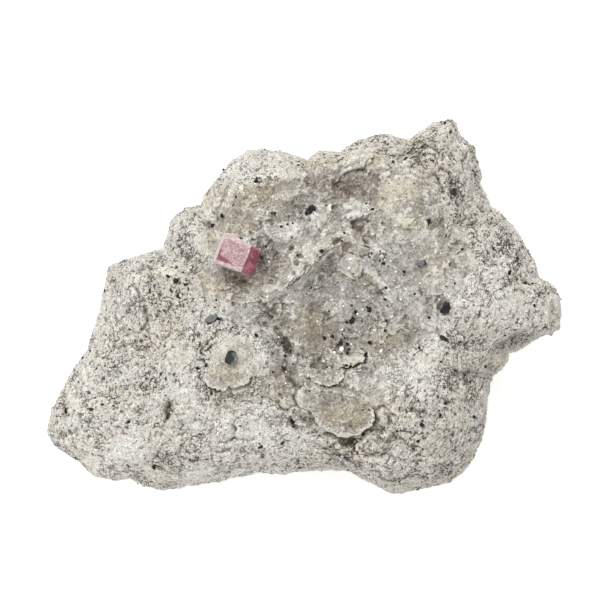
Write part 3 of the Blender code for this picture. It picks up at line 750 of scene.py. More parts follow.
class Tree:
    """A material's nodes, with one method that makes any node and sockets that take part in sums."""

    def __init__(self, name: str) -> None:
        """Starts a material with only its output."""
        self.material = bpy.data.materials.new(name)
        self.material.use_nodes = True
        self.nodes = self.material.node_tree.nodes
        self.links = self.material.node_tree.links
        self.nodes.clear()
        self.output = self.nodes.new("ShaderNodeOutputMaterial")

    def node(
        self, kind: str, settings: Optional[dict] = None, inputs: Optional[dict] = None, out: object = 0
    ) -> "Socket":
        """Makes a node.

        Args:
            kind: its type, without the word ShaderNode.
            settings: its properties, set first; "stops" fills a colour ramp.
            inputs: values or links of its sockets, by name or number.
            out: the name or number of the output that is given back.

        Returns:
            The output, wrapped.
        """
        made = self.nodes.new("ShaderNode" + kind)
        for key, value in (settings or {}).items():
            if key == "stops":
                while len(made.color_ramp.elements) < len(value):
                    made.color_ramp.elements.new(0.5)
                for element, (place, colour) in zip(made.color_ramp.elements, value):
                    element.position = place
                    element.color = (*colour, 1.0)
            else:
                setattr(made, key, value)
        for key, value in (inputs or {}).items():
            if isinstance(value, Socket):
                self.links.new(value.socket, made.inputs[key])
            elif made.inputs[key].type == "RGBA":
                made.inputs[key].default_value = (*value, 1.0)
            else:
                made.inputs[key].default_value = value
        return Socket(self, made.outputs[out])

    def layer(self, name: str) -> "Socket":
        """A number stored on the mesh's points."""
        return self.node("Attribute", {"attribute_name": name}, out="Fac")

    def place(self) -> "Socket":
        """Object coordinates."""
        return self.node("TexCoord", out="Object")

    def noise(self, size: float, detail: float = 2.0, rough: float = 0.5, shift: float = 0.0) -> "Socket":
        """Noise from 0 to 1, with features of about that size in millimetres."""
        at = self.node("VectorMath", {"operation": "ADD"}, {0: self.place(), 1: (shift, shift * 0.7, -shift)})
        values = {"Vector": at, "Scale": 1.0 / (size * MM), "Detail": detail, "Roughness": rough}
        return self.node("TexNoise", None, values, "Fac")

    def cells(self, size: float, shift: float, out: str) -> "Socket":
        """Distance or Color of a pattern with cells of about that size in millimetres."""
        at = self.node("VectorMath", {"operation": "ADD"}, {0: self.place(), 1: (shift, -shift, shift * 0.4)})
        return self.node("TexVoronoi", None, {"Vector": at, "Scale": 1.0 / (size * MM)}, out)

    def between(self, value: "Socket", low: float, high: float) -> "Socket":
        """0 where a value is under low, 1 over high, smooth between. High may be under low."""
        settings = {"interpolation_type": "SMOOTHSTEP", "clamp": True}
        return self.node("MapRange", settings, {"Value": value, "From Min": low, "From Max": high})

    def mix(self, share: object, first: object, second: object, blend: str = "MIX") -> "Socket":
        """Mixes two colours by a share."""
        settings = {"data_type": "RGBA", "blend_type": blend, "clamp_factor": True}
        return self.node("Mix", settings, {0: share, 6: first, 7: second}, 2)

    def blotched(self, colour: object, *rows: tuple) -> "Socket":
        """Mixes tints into a colour where noises are strong.

        Args:
            colour: what shows elsewhere.
            rows: each noise's size, detail, roughness and shift, its low and high, the share, the tint.

        Returns:
            The colour.
        """
        for *shape, low, high, share, tint in rows:
            colour = self.mix(self.between(self.noise(*shape), low, high) * share, colour, tint)
        return colour

    def stained(self, colour: object, share: float = 1.0, **tints: Colour) -> "Socket":
        """Mixes tints into a colour by the point layers of their names times the share."""
        for name, tint in tints.items():
            amount = self.layer(name) * share if share < 1.0 else self.layer(name)
            colour = self.mix(amount, colour, tint)
        return colour

    def bump(self, height: "Socket", strength: float, distance: float) -> "Socket":
        """A bump of that height, in millimetres."""
        values = {"Strength": strength, "Distance": distance * MM, "Height": height}
        return self.node("Bump", None, values)

    def principled(self, inputs: dict) -> Material:
        """Adds the shader, links it to the output, and gives back the material."""
        shader = self.node("BsdfPrincipled", None, inputs)
        self.links.new(shader.socket, self.output.inputs["Surface"])
        return self.material


class Socket:
    """An output socket that can stand in sums: each operator adds a Math node."""

    def __init__(self, tree: Tree, socket: bpy.types.NodeSocket) -> None:
        """Wraps a socket of a tree."""
        self.tree = tree
        self.socket = socket

    def maths(self, operation: str, first: object, second: object) -> "Socket":
        """One Math node."""
        return self.tree.node("Math", {"operation": operation}, {0: first, 1: second})

    def __add__(self, other: object) -> "Socket":
        """self + other."""
        return self.maths("ADD", self, other)

    def __sub__(self, other: object) -> "Socket":
        """self - other."""
        return self.maths("SUBTRACT", self, other)

    def __rsub__(self, other: object) -> "Socket":
        """other - self."""
        return self.maths("SUBTRACT", other, self)

    def __mul__(self, other: object) -> "Socket":
        """self times other."""
        return self.maths("MULTIPLY", self, other)

    __radd__ = __add__
    __rmul__ = __mul__


@dataclass(frozen=True)
class RockFinish:
    """Rhyolite and its crust.

    Rock: pale, in tints that change over millimetres, with white bits, and with short dark strokes and pits
    in painted shade.
    Crust: grey to beige, waxy, with cream lips and brown hollows, the brown partly painted shade; raised
    bumps get a painted highlight.
    """

    name: str = "rhyolite"
    pale: Colour = (0.67, 0.65, 0.598)
    cream: Colour = (0.64, 0.585, 0.475)
    pinkish: Colour = (0.60, 0.535, 0.495)
    cool: Colour = (0.545, 0.55, 0.505)
    white: Colour = (0.90, 0.89, 0.86)
    chalk: Colour = (0.80, 0.785, 0.735)
    crust: Colour = (0.335, 0.302, 0.247)
    beige: Colour = (0.32, 0.27, 0.225)
    dusk: Colour = (0.25, 0.215, 0.19)
    tan: Colour = (0.445, 0.372, 0.243)
    # brown stains, and the painted shade of hollows and of gaps under edges
    brown: Colour = (0.19, 0.15, 0.115)
    grey: Colour = (0.315, 0.305, 0.275)
    ivory: Colour = (0.60, 0.56, 0.45)
    # cream of the pale plate lips, and also the colour of the painted highlight on raised bumps
    lip: Colour = (0.86, 0.82, 0.73)
    speck: Colour = (0.03, 0.03, 0.033)
    # painted shade: the colour of crevices, cracks, pits and hollows
    pit_shade: Colour = (0.095, 0.072, 0.05)
    rough_rock: float = 0.95
    rough_crust: float = 0.5

    def material(self) -> Material:
        """Builds the node material from the point layers that colour_layers and the pieces store."""
        tree = Tree(self.name)
        crust, cavity = tree.layer("crust"), tree.layer("cavity")
        rock = tree.blotched(
            self.pale,
            (3.6, 4.0, 0.55, 0.0, 0.42, 0.62, 0.65, self.cream),
            (2.7, 4.0, 0.60, 0.03, 0.50, 0.64, 0.65, self.pinkish),
            (2.3, 4.0, 0.60, 0.05, 0.50, 0.66, 0.65, self.cool),
        )
        coat = tree.blotched(
            self.crust,
            (1.9, 4.0, 0.6, 0.02, 0.42, 0.58, 1.0, self.grey),
            (2.4, 3.0, 0.6, 0.06, 0.48, 0.62, 0.8, self.beige),
        )
        plate = tree.layer("plate")
        for start, end, share, tint in (
            (0.22, 0.18, 0.75, self.dusk), (0.10, 0.06, 0.5, self.brown), (0.46, 0.50, 0.5, self.ivory),
            (0.62, 0.66, 0.55, self.grey), (0.74, 0.78, 0.55, self.chalk), (0.88, 0.92, 0.5, self.lip),
        ):
            coat = tree.mix(tree.between(plate, start, end) * share, coat, tint)
        coat = tree.blotched(
            coat,
            (1.5, 4.0, 0.65, 0.12, 0.55, 0.59, 0.6, self.dusk),
            (1.25, 4.0, 0.65, 0.08, 0.55, 0.58, 0.65, self.chalk),
            (0.8, 3.0, 0.65, 0.04, 0.58, 0.62, 0.6, self.brown),
        )
        colour = tree.mix(crust, rock, coat)
        # the grey layer is partly painted shade, and the chalk layer partly painted light along the lower rim
        colour = tree.stained(colour, chalk=self.chalk, grey=self.grey, tan=self.tan)
        # brown stains and painted shade from the brown layer, cream from the cream layer
        colour = tree.stained(colour, cream=self.ivory, brown=self.brown)
        # painted highlight on raised bumps, and the pale plate lips
        colour = tree.mix(tree.layer("crest") * 0.62, colour, self.lip)
        grain = tree.between(tree.noise(0.45, 4.0, 0.7, 0.07), 0.34, 0.66) * 0.20 + 0.88
        dust = tree.between(tree.noise(0.16, 2.0, 0.6, 0.083), 0.32, 0.68) * 0.60 + 0.68
        tone = grain * (dust + (1.0 - dust) * crust * 0.55)
        shade = tree.node("CombineColor", None, {0: tone, 1: tone, 2: tone})
        colour = tree.mix(1.0, colour, shade, "MULTIPLY")
        bits = tree.between(tree.noise(0.26, 3.0, 0.65, 0.061), 0.60, 0.68)
        calm = 1.0 - tree.layer("cream") * 0.7
        colour = tree.mix(bits * (0.85 - crust * 0.4) * calm, colour, self.white)
        # short dark strokes: painted shade in fine cracks, fewer on crust, chalk and cream
        crowd = tree.noise(3.0, 3.0, 0.5, 0.023)
        strokes = None
        for size, width, low, shift in ((0.85, 0.0008, 1.05, 0.017), (0.48, 0.0019, 1.07, 0.037)):
            wave = tree.noise(size, 2.0, 0.5, shift) - 0.5
            gate = tree.between(tree.noise(size * 0.8, 1.0, 0.5, shift + 0.1) + crowd, low, low + 0.07)
            line = tree.between(wave * wave, width, width * 0.12) * gate
            strokes = line if strokes is None else strokes.maths("MAXIMUM", strokes, line)
        shown = calm * (1.0 - crust * 0.55) * (1.0 - tree.layer("chalk") * 0.45)
        colour = tree.mix(strokes * shown, colour, self.pit_shade)
        # painted shade in hollows, creases, pits, cracks and gaps under sheet edges
        colour = tree.mix(tree.between(cavity, 0.10, 0.90) * 0.85, colour, self.pit_shade)
        colour = tree.mix(tree.layer("lip"), colour, self.lip)
        near = tree.cells(1.0, 0.011, "Distance") + tree.noise(0.25, 2.0, 0.5, 0.04) * 0.2
        random_cell = tree.node("SeparateColor", None, {0: tree.cells(1.0, 0.011, "Color")})
        specks = tree.between(near, 0.25, 0.20) * tree.between(random_cell, 0.70, 0.72)
        colour = tree.mix(specks * 0.95, colour, self.speck)
        fine = tree.noise(0.24, 4.0, 0.75, 0.09) * (1.0 - crust * 0.5) - strokes * 0.7
        gloss = tree.noise(0.3, 2.0, 0.5, 0.013) * 0.25
        return tree.principled({
            "Base Color": colour,
            "Roughness": self.rough_rock - crust * (self.rough_rock - self.rough_crust) + gloss - 0.12,
            "Normal": tree.bump(fine, 1.0, 0.13),
            "Specular IOR Level": 0.4,
        })


@dataclass(frozen=True)
class GrainFinish:
    """Small grains, one tint each from the point layer tint, stained like the ground they sit on, painted
    shade included.
    """

    name: str
    tints: tuple[Colour, ...]
    roughness: float
    transmission: float = 0.0
    coat: float = 0.0
    level: float = 0.4
    stained: float = 0.8
    # light of its own: painted glint
    glint_glow: float = 0.0
    tan: Colour = RockFinish.tan
    brown: Colour = RockFinish.brown

    def material(self) -> Material:
        """Builds the node material."""
        tree = Tree(self.name)
        stops = [(k / len(self.tints), tint) for k, tint in enumerate(self.tints)]
        colour = tree.node("ValToRGB", {"stops": stops}, {"Fac": tree.layer("tint")})
        colour = tree.stained(colour, self.stained, tan=self.tan, brown=self.brown)
        cloud = tree.noise(0.2, 3.0, 0.6)
        colour = tree.mix(cloud * 0.3, colour, tree.mix(1.0, colour, (0.6, 0.59, 0.57), "MULTIPLY"))
        return tree.principled({
            "Base Color": colour,
            "Roughness": cloud * 0.2 + (self.roughness - 0.1),
            "Transmission Weight": self.transmission,
            "Coat Weight": self.coat,
            "Specular IOR Level": self.level,
            "Emission Color": (1.0, 1.0, 1.0),
            "Emission Strength": self.glint_glow,
            "Normal": tree.bump(tree.noise(0.08, 2.0), 0.3, 0.03),
        })


QUARTZ = GrainFinish(
    "quartz_points", ((0.50, 0.49, 0.46), (0.62, 0.61, 0.58), (0.72, 0.71, 0.69)), 0.18,
    transmission=0.3, coat=0.5, level=0.7, stained=0.9,
)
SPECKS = GrainFinish(
    "dark_specks", ((0.006, 0.006, 0.007), (0.015, 0.015, 0.016), (0.04, 0.037, 0.033)), 0.5,
    level=0.25, stained=0.0,
)
# painted glints: white facets with a glow of their own, standing in for the lamp's glints
FACETS = GrainFinish(
    "sparkling_facets", ((0.85, 0.85, 0.84), (0.92, 0.92, 0.92)), 0.12,
    coat=1.0, level=1.0, stained=0.0, glint_glow=0.6,
)
# the last tint is the painted sheen of faces turned towards the light
DARK_MINERAL = GrainFinish(
    "dark_mineral", ((0.004, 0.004, 0.005), (0.012, 0.012, 0.013), (0.165, 0.175, 0.165)), 0.42,
    level=0.3, stained=0.0,
)


@dataclass(frozen=True)
class BerylFinish:
    """Red beryl: mottled pale pink under a clear gloss, the pale partly painted reflection, raspberry on the
    right face and in a band round the pale patch, milky on the left face and at the near end, and painted
    highlights along the wide face's right edge, the patch's foot and the far end."""

    name: str = "red_beryl"
    patch: Colour = (0.45, 0.225, 0.25)
    clear: Colour = (0.27, 0.045, 0.085)
    raspberry: Colour = (0.23, 0.022, 0.058)
    streak: Colour = (0.56, 0.11, 0.20)
    night: Colour = (0.10, 0.012, 0.03)
    milky: Colour = (0.56, 0.45, 0.43)
    veil: Colour = (0.60, 0.47, 0.465)
    bright: Colour = (0.90, 0.76, 0.75)
    fleck: Colour = (0.20, 0.05, 0.08)
    roughness: float = 0.35
    ior: float = 1.577

    def material(self) -> Material:
        """Builds the node material from the point layers across, along, patch, right, left, end, dark and the
        painted highlight layer.
        """
        tree = Tree(self.name)
        patch, right, left = tree.layer("patch"), tree.layer("right"), tree.layer("left")
        mottle = tree.between(tree.noise(0.45, 4.0, 0.7, 0.004), 0.40, 0.66)
        # the patch's pale pink, partly painted reflection
        pale = tree.mix(mottle, self.patch, self.veil)
        pale = tree.blotched(pale, (0.3, 3.0, 0.6, 0.009, 0.59, 0.66, 0.7, self.bright))
        flecks = tree.between(tree.noise(0.22, 3.0, 0.7, 0.006), 0.53, 0.59) * 0.75
        pale = tree.mix(flecks, pale, self.fleck)
        band = tree.blotched(self.clear, (0.32, 3.0, 0.65, 0.012, 0.50, 0.62, 0.7, self.patch))
        colour = tree.mix(patch, tree.mix(flecks, band, self.night), pale)
        lane = tree.node("CombineXYZ", None, {0: tree.layer("across") * 6.0, 1: tree.layer("along") * 0.7})
        lines = tree.node("TexNoise", None, {"Vector": lane, "Scale": 1.0, "Detail": 3.0}, "Fac")
        streaks = tree.between(tree.noise(0.7, 3.0, 0.6, 0.015) + lines * 0.3, 0.58, 0.74)
        deep = tree.mix(streaks, self.raspberry, self.streak)
        deep = tree.blotched(deep, (0.4, 3.0, 0.65, 0.018, 0.55, 0.66, 0.8, self.night))
        coat = tree.mix(tree.between(lines, 0.35, 0.6) * 0.5, self.veil, self.milky)
        colour = tree.mix(left, tree.mix(right, colour, deep), coat)
        end = tree.mix(flecks * 0.35, tree.mix(mottle, self.milky, self.bright), self.patch)
        colour = tree.mix(tree.layer("end"), colour, end)
        broken = tree.between(tree.noise(0.3, 3.0, 0.65, 0.021), 0.42, 0.52)
        colour = tree.mix(tree.layer("dark") * broken * 0.8, colour, self.night)
        # painted highlight along the crystal's edges
        colour = tree.mix(tree.layer("bright") * broken, colour, self.bright)
        grain = tree.noise(0.16, 2.0, 0.6) * 0.4 + lines * 0.6
        return tree.principled({
            "Base Color": colour,
            "Roughness": mottle * 0.15 + self.roughness + left * 0.2,
            "IOR": self.ior,
            "Transmission Weight": 0.2,
            "Coat Weight": 0.05,
            "Coat Roughness": 0.2,
            "Specular IOR Level": 0.12,
            "Normal": tree.bump(grain, 0.25, 0.03),
        })


@dataclass(frozen=True)
class FloorFinish:
    """The plain pale floor."""

    name: str = "studio_floor"
    colour: Colour = (0.93, 0.93, 0.93)

    def material(self) -> Material:
        """Builds the material: matt, with a little light of its own so that the paper stays white."""
        return Tree(self.name).principled({
            "Base Color": self.colour,
            "Roughness": 0.9,
            "Emission Color": (1.0, 1.0, 1.0),
            "Emission Strength": 0.45,
        })


@dataclass(frozen=True)
class Lump:
    """The shape that the rock and everything on it follow.

    The top is a plateau with swells, ledges and cracks, rounded off towards the outline by a
    superellipse; below the outline the side curves in to a flat back.
    """

    centre: tuple[float, float] = (0.8, -1.6)
    rim_height: float = 6.5
    plateau: float = 16.6
    back_share: float = 0.80
    edge_power: float = 3.0
    left_edge_power: float = 2.3
    left_slope: float = 0.20
    left_slope_start: float = -9.0
    spot_rise: float = 0.28

    def rim(self, angle: Array) -> Array:
        """Distance from the centre to the outline at each angle, straight between the outline's points."""
        offset = from_photo(OUTLINE) - self.centre
        return by_angle(offset, angle, np.hypot(*offset.T))[0]

    @staticmethod
    def wandered(x: Array, y: Array) -> tuple[Array, Array]:
        """The places moved by noise, which makes the small features' lines ragged."""
        warp = Noise(5)
        moves = [
            0.30 * warp.layered(points, 1.6, 3) + 0.10 * warp.smooth_noise(points, 0.45)
            for points in (flat(x, y), flat(x, y) + 40.0)
        ]
        return x + moves[0], y + moves[1]

    def crown(self, x: Array, y: Array, basin: float = 1.0) -> Array:
        """Height of the top before its edge is rounded off.

        Args:
            x: places' x.
            y: places' y.
            basin: how much of the basin's depth counts, 0 to 1.

        Returns:
            The plateau plus all swells, ledges and cracks, the small ones along lines made ragged by noise.
        """
        height = self.plateau - self.left_slope * np.maximum(0.0, self.left_slope_start - x)
        for swell in SWELLS:
            height = height + swell.height(x, y)
        height = height + basin * BASIN.height(x, y)
        wx, wy = self.wandered(x, y)
        for feature in (*DIMPLES, *LEDGES, *CRACKS):
            height = height + feature.height(wx, wy)
        return height + self.spot_rise * spotted(x, y)

    def rounded(self, crown: Array, share: Array, angle: Array) -> Array:
        """The crown's height brought down to the rim: rim + (crown - rim)(1 - share^p)^(1/p)."""
        power = self.edge_power + (self.left_edge_power - self.edge_power) * (0.5 - 0.5 * np.cos(angle))
        fall = np.maximum(0.0, 1.0 - np.minimum(share, 1.0) ** power) ** (1.0 / power)
        return self.rim_height + (crown - self.rim_height) * fall

    def height(self, x: Array, y: Array, basin: float = 1.0) -> Array:
        """Height of the top at a place, with the basin's depth counted as in crown."""
        dx, dy = x - self.centre[0], y - self.centre[1]
        angle = np.arctan2(dy, dx)
        share = np.hypot(dx, dy) / self.rim(angle)
        return self.rounded(self.crown(x, y, basin), share, angle)


LUMP = Lump()


@dataclass(frozen=True)
class Sheet:
    """A thin crust sheet on the rock.

    Its outline is read from the photograph. A third number beside a place says how free the edge is
    there: 1 is a free, undercut edge, and none an edge that melts into the rock. The ground around a
    free edge is sunk by the moat.
    """

    outline: Sequence[Sequence[float]]
    thickness: float
    moat: float
    basin: float = 1.0
    moat_width: float = 0.38
    ragged: float = 0.17
    cream: float = 0.0
    calm: float = 0.65

    def middle(self) -> Array:
        """Centre of the outline, in millimetres."""
        return from_photo([place[:2] for place in self.outline]).mean(axis=0)

    def edge(self, angle: Array) -> tuple[Array, Array]:
        """Distance from the middle to the edge, made ragged by noise, and how free it is, by angle."""
        offset = from_photo([place[:2] for place in self.outline]) - self.middle()
        free = np.array([sum(place[2:]) for place in self.outline])
        reach, freedom = by_angle(offset, angle, np.hypot(*offset.T), free)
        points = flat(self.middle()[0] + reach * np.cos(angle), self.middle()[1] + reach * np.sin(angle))
        noise = Noise(41)
        wander = self.ragged * (1.6 * noise.layered(points, 0.9, 2) + 0.9 * noise.smooth_noise(points, 0.32))
        return reach + wander * (0.5 + 0.6 * freedom), freedom

    def beyond(self, x: Array, y: Array) -> tuple[Array, Array]:
        """How far a place lies outside the edge, less than 0 inside, and how free the nearest edge is."""
        dx, dy = x - self.middle()[0], y - self.middle()[1]
        reach, freedom = self.edge(np.arctan2(dy, dx))
        return np.hypot(dx, dy) - reach, freedom

    def sink(self, beyond: Array, freedom: Array) -> Array:
        """How far the ground is sunk: the moat outside a free edge, and deeper inside under any edge."""
        inside = np.maximum(freedom, smooth(0.25, 1.1, -beyond))
        outside = freedom * bell(np.maximum(beyond, 0.0), self.moat_width)
        return self.moat * np.where(beyond < 0.0, inside, outside)


# From the lowest sheet to the topmost; the sheets of one piece stand together.
SHEETS: dict[str, dict[str, Sheet]] = {
    "rhyolite_skin_left": {
        "left": Sheet((
            (66, 424), (76, 396), (96, 362), (112, 318), (124, 278), (150, 266), (182, 256), (206, 262),
            (222, 300), (226, 340), (228, 380), (236, 410), (240, 440), (226, 462), (190, 472), (150, 472),
            (118, 466), (88, 450),
        ), 0.3, 0.8),
    },
    "rhyolite_skin_below": {
        "below": Sheet((
            (214, 404), (240, 392), (276, 386), (300, 398), (330, 424), (360, 430), (392, 424), (404, 440),
            (400, 474), (372, 470), (340, 457), (300, 458), (262, 460), (226, 466), (208, 460), (206, 430),
        ), 0.3, 0.8),
    },
    "rhyolite_skin_right": {
        "right": Sheet((
            (418, 148), (440, 140), (458, 152), (466, 188), (482, 222), (508, 252), (524, 284), (544, 300),
            (544, 322), (512, 336), (490, 352), (476, 384), (470, 430), (456, 462), (420, 474), (394, 476),
            (378, 456), (374, 420), (380, 386), (402, 350), (428, 316), (440, 284), (436, 246), (424, 206),
            (414, 176),
        ), 0.3, 0.8),
    },
    "upper_crust": {
        "field": Sheet((
            (196, 276), (206, 236), (216, 204), (234, 178), (262, 168), (300, 170), (330, 166), (352, 154),
            (384, 150), (410, 156), (432, 172), (446, 204), (468, 240), (472, 272), (456, 304), (440, 340),
            (414, 366), (396, 396), (386, 428), (356, 446), (322, 438), (294, 418), (262, 404), (236, 372),
            (226, 334), (206, 306),
        ), 0.35, 0.9),
        "pebble": Sheet((
            (279.5, 401, 0.7), (281.5, 396, 0.4), (286, 394, 0.2), (290.5, 396, 0.2), (292.5, 401, 0.4),
            (291, 405.5, 0.6), (286.5, 407.5, 1), (281.5, 405.5, 1),
        ), 0.4, 0.35, 1, 0.25, 0.08),
        "knob": Sheet((
            (378, 408, 0.5), (382, 405, 0.7), (386, 408, 0.8), (388, 415, 0.7), (388, 422, 0.4),
            (384, 425, 0.3), (380, 420, 0.6), (377, 413, 1),
        ), 0.6, 0.6, 1, 0.3, 0.1),
        "under_lump": Sheet((
            (355, 448, 1), (358, 441, 1), (364, 438, 0.6), (372, 433, 0.4), (380, 428, 0.3), (390, 428, 0.2),
            (395, 436, 0.3), (391, 446, 0.6), (382, 452, 0.8), (370, 454, 0.6), (361, 453, 0.8),
        ), 0.6, 0.7, 1, 0.35, 0.2),
    },
    "druse_basin_lining": {
        "lining": Sheet((
            (300, 287), (297.5, 311), (298.4, 340), (303.5, 366), (325, 379), (350, 382), (372, 377),
            (392, 360), (410, 344), (425, 329), (432, 312), (435, 291), (434, 267), (422, 245), (400, 240),
            (380, 243), (362, 252), (345, 262), (327, 271), (311, 280),
        ), 0.5, 0.4),
        "lower_plate": Sheet((
            (312, 381, 0.4), (317.5, 383, 1), (325, 384.5, 1), (332.5, 384.8, 1), (337.5, 384, 1),
            (341, 379.5, 1), (345, 375.5, 1), (343.5, 371, 1), (341.5, 367, 0.6), (336, 362), (325, 358),
            (312, 362), (306, 372),
        ), 0.45, 0.55, 0.8, 0.34, 0.26, 0.45),
        "small_plate": Sheet((
            (366, 343, 0.3), (371, 342.5, 0.6), (376, 340.5, 1), (379.5, 337.5, 1), (381.5, 334, 1),
            (384, 328, 1), (386.5, 322.5, 1), (385, 318, 0.5), (378, 316), (370, 322), (364, 332),
        ), 0.35, 0.4, cream=0.3),
        "bulge": Sheet((
            (335, 262), (340, 252), (350, 249), (359, 252), (363, 260, 0.3), (362, 270, 0.8),
            (358.5, 277, 1), (353.5, 281, 1), (349, 277, 1), (344, 274, 0.8), (338, 271, 0.8),
            (333, 267, 0.3),
        ), 0.5, 0.4, cream=0.3),
        "white_plate": Sheet((
            (334, 367, 0.5), (339, 366.5, 1), (345, 366, 1), (350, 365.3, 1), (356, 364, 1), (361, 362.5, 1),
            (364.5, 361, 1), (366, 356, 1), (364, 351.5, 0.7), (358, 348), (348, 347), (338, 350),
            (331, 357),
        ), 0.6, 0.7, 0.8, 0.34, 0.26, 0.8),
    },
    "crust_shelf_lower": {
        "shelf": Sheet((
            (294.5, 394, 0.2), (294.6, 398, 0.6), (297, 402.5, 0.7), (299, 406, 0.7), (305, 408.7, 0.7),
            (310.6, 410.3, 0.6), (314.5, 417, 0.6), (318, 424, 0.7), (324, 428, 0.8), (330, 431.5, 1),
            (336, 435, 1), (342, 436.5, 1), (351, 436, 1), (359, 433.3, 1), (365, 429.2, 1), (370, 425.3, 1),
            (375, 419, 1), (374.8, 415, 1), (374, 410, 0.7), (370, 404, 0.2), (362, 398), (350, 393),
            (335, 390), (318, 388), (303, 388),
        ), 0.75, 1, 1, 0.7, cream=0.2, calm=0.55),
    },
    "crust_plate_left": {
        "plate": Sheet((
            (203, 378, 0.8), (206.5, 383, 1), (210, 387, 1), (215.6, 387.5, 1), (222, 391, 1),
            (226.3, 390.6, 1), (228.8, 386.3, 1), (240, 386.3, 1), (247.5, 383.8, 1), (250, 377.5, 0.8),
            (254.5, 375, 0.6), (254.5, 366, 0.4), (252.5, 358.8, 0.3), (256, 349, 0.25), (254.5, 342.5, 0.1),
            (250, 333), (240, 331), (231, 334), (222.5, 339), (217.5, 344, 0.1), (212.5, 350, 0.15),
            (210, 355, 0.2), (208.8, 362.5, 0.25), (207.5, 370, 0.4),
        ), 0.7, 0.6, cream=0.65, calm=0.45),
    },
    "crust_ledge_upper": {
        "ledge": Sheet((
            (284, 292, 0.3), (289, 288, 1), (290.5, 282.5, 1), (298.8, 276.5, 1), (305.5, 273.5, 1),
            (310.5, 266.5, 1), (316.5, 262.5, 1), (320, 256.5, 1), (325, 252.5, 1), (332.5, 248, 1),
            (334.5, 243.5, 1), (340, 239, 0.8), (345, 234, 0.5), (343, 228), (334, 230), (322, 236),
            (308, 244), (295, 255), (284, 270), (279, 283),
        ), 0.45, 0.4, 0.3, 0.3, 0.6, 0.55, 0.4),
        "curl": Sheet((
            (341, 232, 0.4), (346, 230, 0.7), (352, 234, 0.8), (357.5, 240, 0.8), (361, 245.5, 0.8),
            (368, 248.5, 0.7), (376, 248.5, 0.3), (378, 252), (368, 256), (356, 255), (347, 250), (340, 242),
        ), 0.5, 0.4, 0.4, 0.3, 0.3, 0.65, 0.4),
    },
    "crust_patch_cream": {
        "lobe": Sheet((
            (389, 222), (396, 215), (406, 214), (416, 217, 0.2), (418, 222, 0.4), (413, 228, 0.6),
            (404, 228.5, 0.7), (395, 227, 0.6), (389, 226, 0.3),
        ), 0.4, 0.25, cream=0.8, calm=0.35),
        "patch": Sheet((
            (375, 190), (377, 184, 0.1), (381, 179, 0.15), (390, 176, 0.2), (398.8, 174.4, 0.3),
            (406, 173.8, 0.3), (411, 176, 0.3), (418.8, 180, 0.3), (420.5, 185, 0.3), (427.5, 193.8, 0.3),
            (426, 199, 0.2), (421, 204, 0.1), (412.5, 207), (404, 213), (392, 219), (380, 216), (374, 204),
        ), 0.55, 0.3, cream=0.95, calm=0.35),
    },
    "crust_collar_beryl": {
        "collar": Sheet((
            (201, 267, 0.1), (203, 276, 0.1), (206, 284, 0.1), (214.6, 292.8, 0.1), (235, 298, 0.2),
            (252, 296.2, 0.2), (259, 288, 0.1), (248, 281), (238, 277), (230, 273.2), (217.2, 264.6),
            (207.8, 261.2),
        ), 0.5, 0.3),
    },
}


@dataclass
class Overlay:
    """What the sheets do to the surface under them: how far it is sunk, the painted shadow in the gap at a
    free edge, and whether it is covered."""

    depth: Array
    shade: Array
    covered: Array


def overlay(x: Array, y: Array, above: str = "") -> Overlay:
    """What the sheets above the named one do at places; with no name, what all sheets do.

    Args:
        x: places' x.
        y: places' y.
        above: a sheet's name, or nothing.

    Returns:
        The overlay at each place.
    """
    found = Overlay(np.zeros(x.shape), np.zeros(x.shape), np.zeros(x.shape, bool))
    stack = [row for sheets in SHEETS.values() for row in sheets.items()]
    lowest = [name for name, _ in stack].index(above) + 1 if above else 0
    for _, sheet in stack[lowest:]:
        middle = sheet.middle()
        widest = sheet.edge(np.linspace(0.0, 2 * math.pi, 180))[0].max()
        near = np.flatnonzero(np.hypot(x - middle[0], y - middle[1]) < widest + 1.5)
        beyond, freedom = sheet.beyond(x[near], y[near])
        parted = smooth(-0.25, 0.2, Noise(45).layered(flat(x[near], y[near]), 1.9, 3, 0.6))
        sunk = sheet.sink(beyond, freedom) * np.where(beyond < 0.0, 1.0, 0.3 + 0.7 * parted)
        found.depth[near] = np.maximum(found.depth[near], sunk)
        # painted shadow in the gap outside a free edge
        shade = freedom * parted * bell(np.maximum(beyond, 0.0), 0.30)
        found.shade[near] = np.maximum(found.shade[near], shade)
        found.covered[near] |= beyond < -0.3
    return found


def colour_layers(x: Array, y: Array, z: Array) -> Layers:
    """How much of each colour the surface shows, with edges broken up by noise; the brown and grey are partly
    painted shade, and the chalk partly painted light.
    """
    points = np.column_stack((x, y, z))
    ragged = Noise(11)
    wx = x + 0.9 * ragged.layered(points, 2.2, 4, 0.6)
    wy = y + 0.9 * ragged.layered(points + 30.0, 2.2, 4, 0.6)
    seen = spotted(x, y)
    top = smooth(7.0, 9.5, z)
    mottle = 0.8 + 0.7 * ragged.layered(points + 9.0, 1.4, 4, 0.65)
    spots = 0.85 + 1.5 * ragged.layered(points + 19.0, 1.0, 4, 0.65)
    return {
        "crust": CRUST_AREA.weight(wx, wy) * top,
        "tan": np.clip(strongest(TAN_STAINS, wx, wy) * mottle * top, 0.0, 0.9),
        "brown": np.clip(np.maximum(strongest(BROWN_TINT_AND_SHADE, wx, wy) * spots, -0.9 * seen) * top, 0.0, 0.9),
        "grey": np.clip(strongest(GREY_TINT_AND_SHADE, wx, wy) * mottle * top, 0.0, 0.9),
        "chalk": np.clip(np.maximum(strongest(CHALK_AND_RIM_LIGHT, wx, wy) * mottle, seen) * top, 0.0, 0.95),
    }


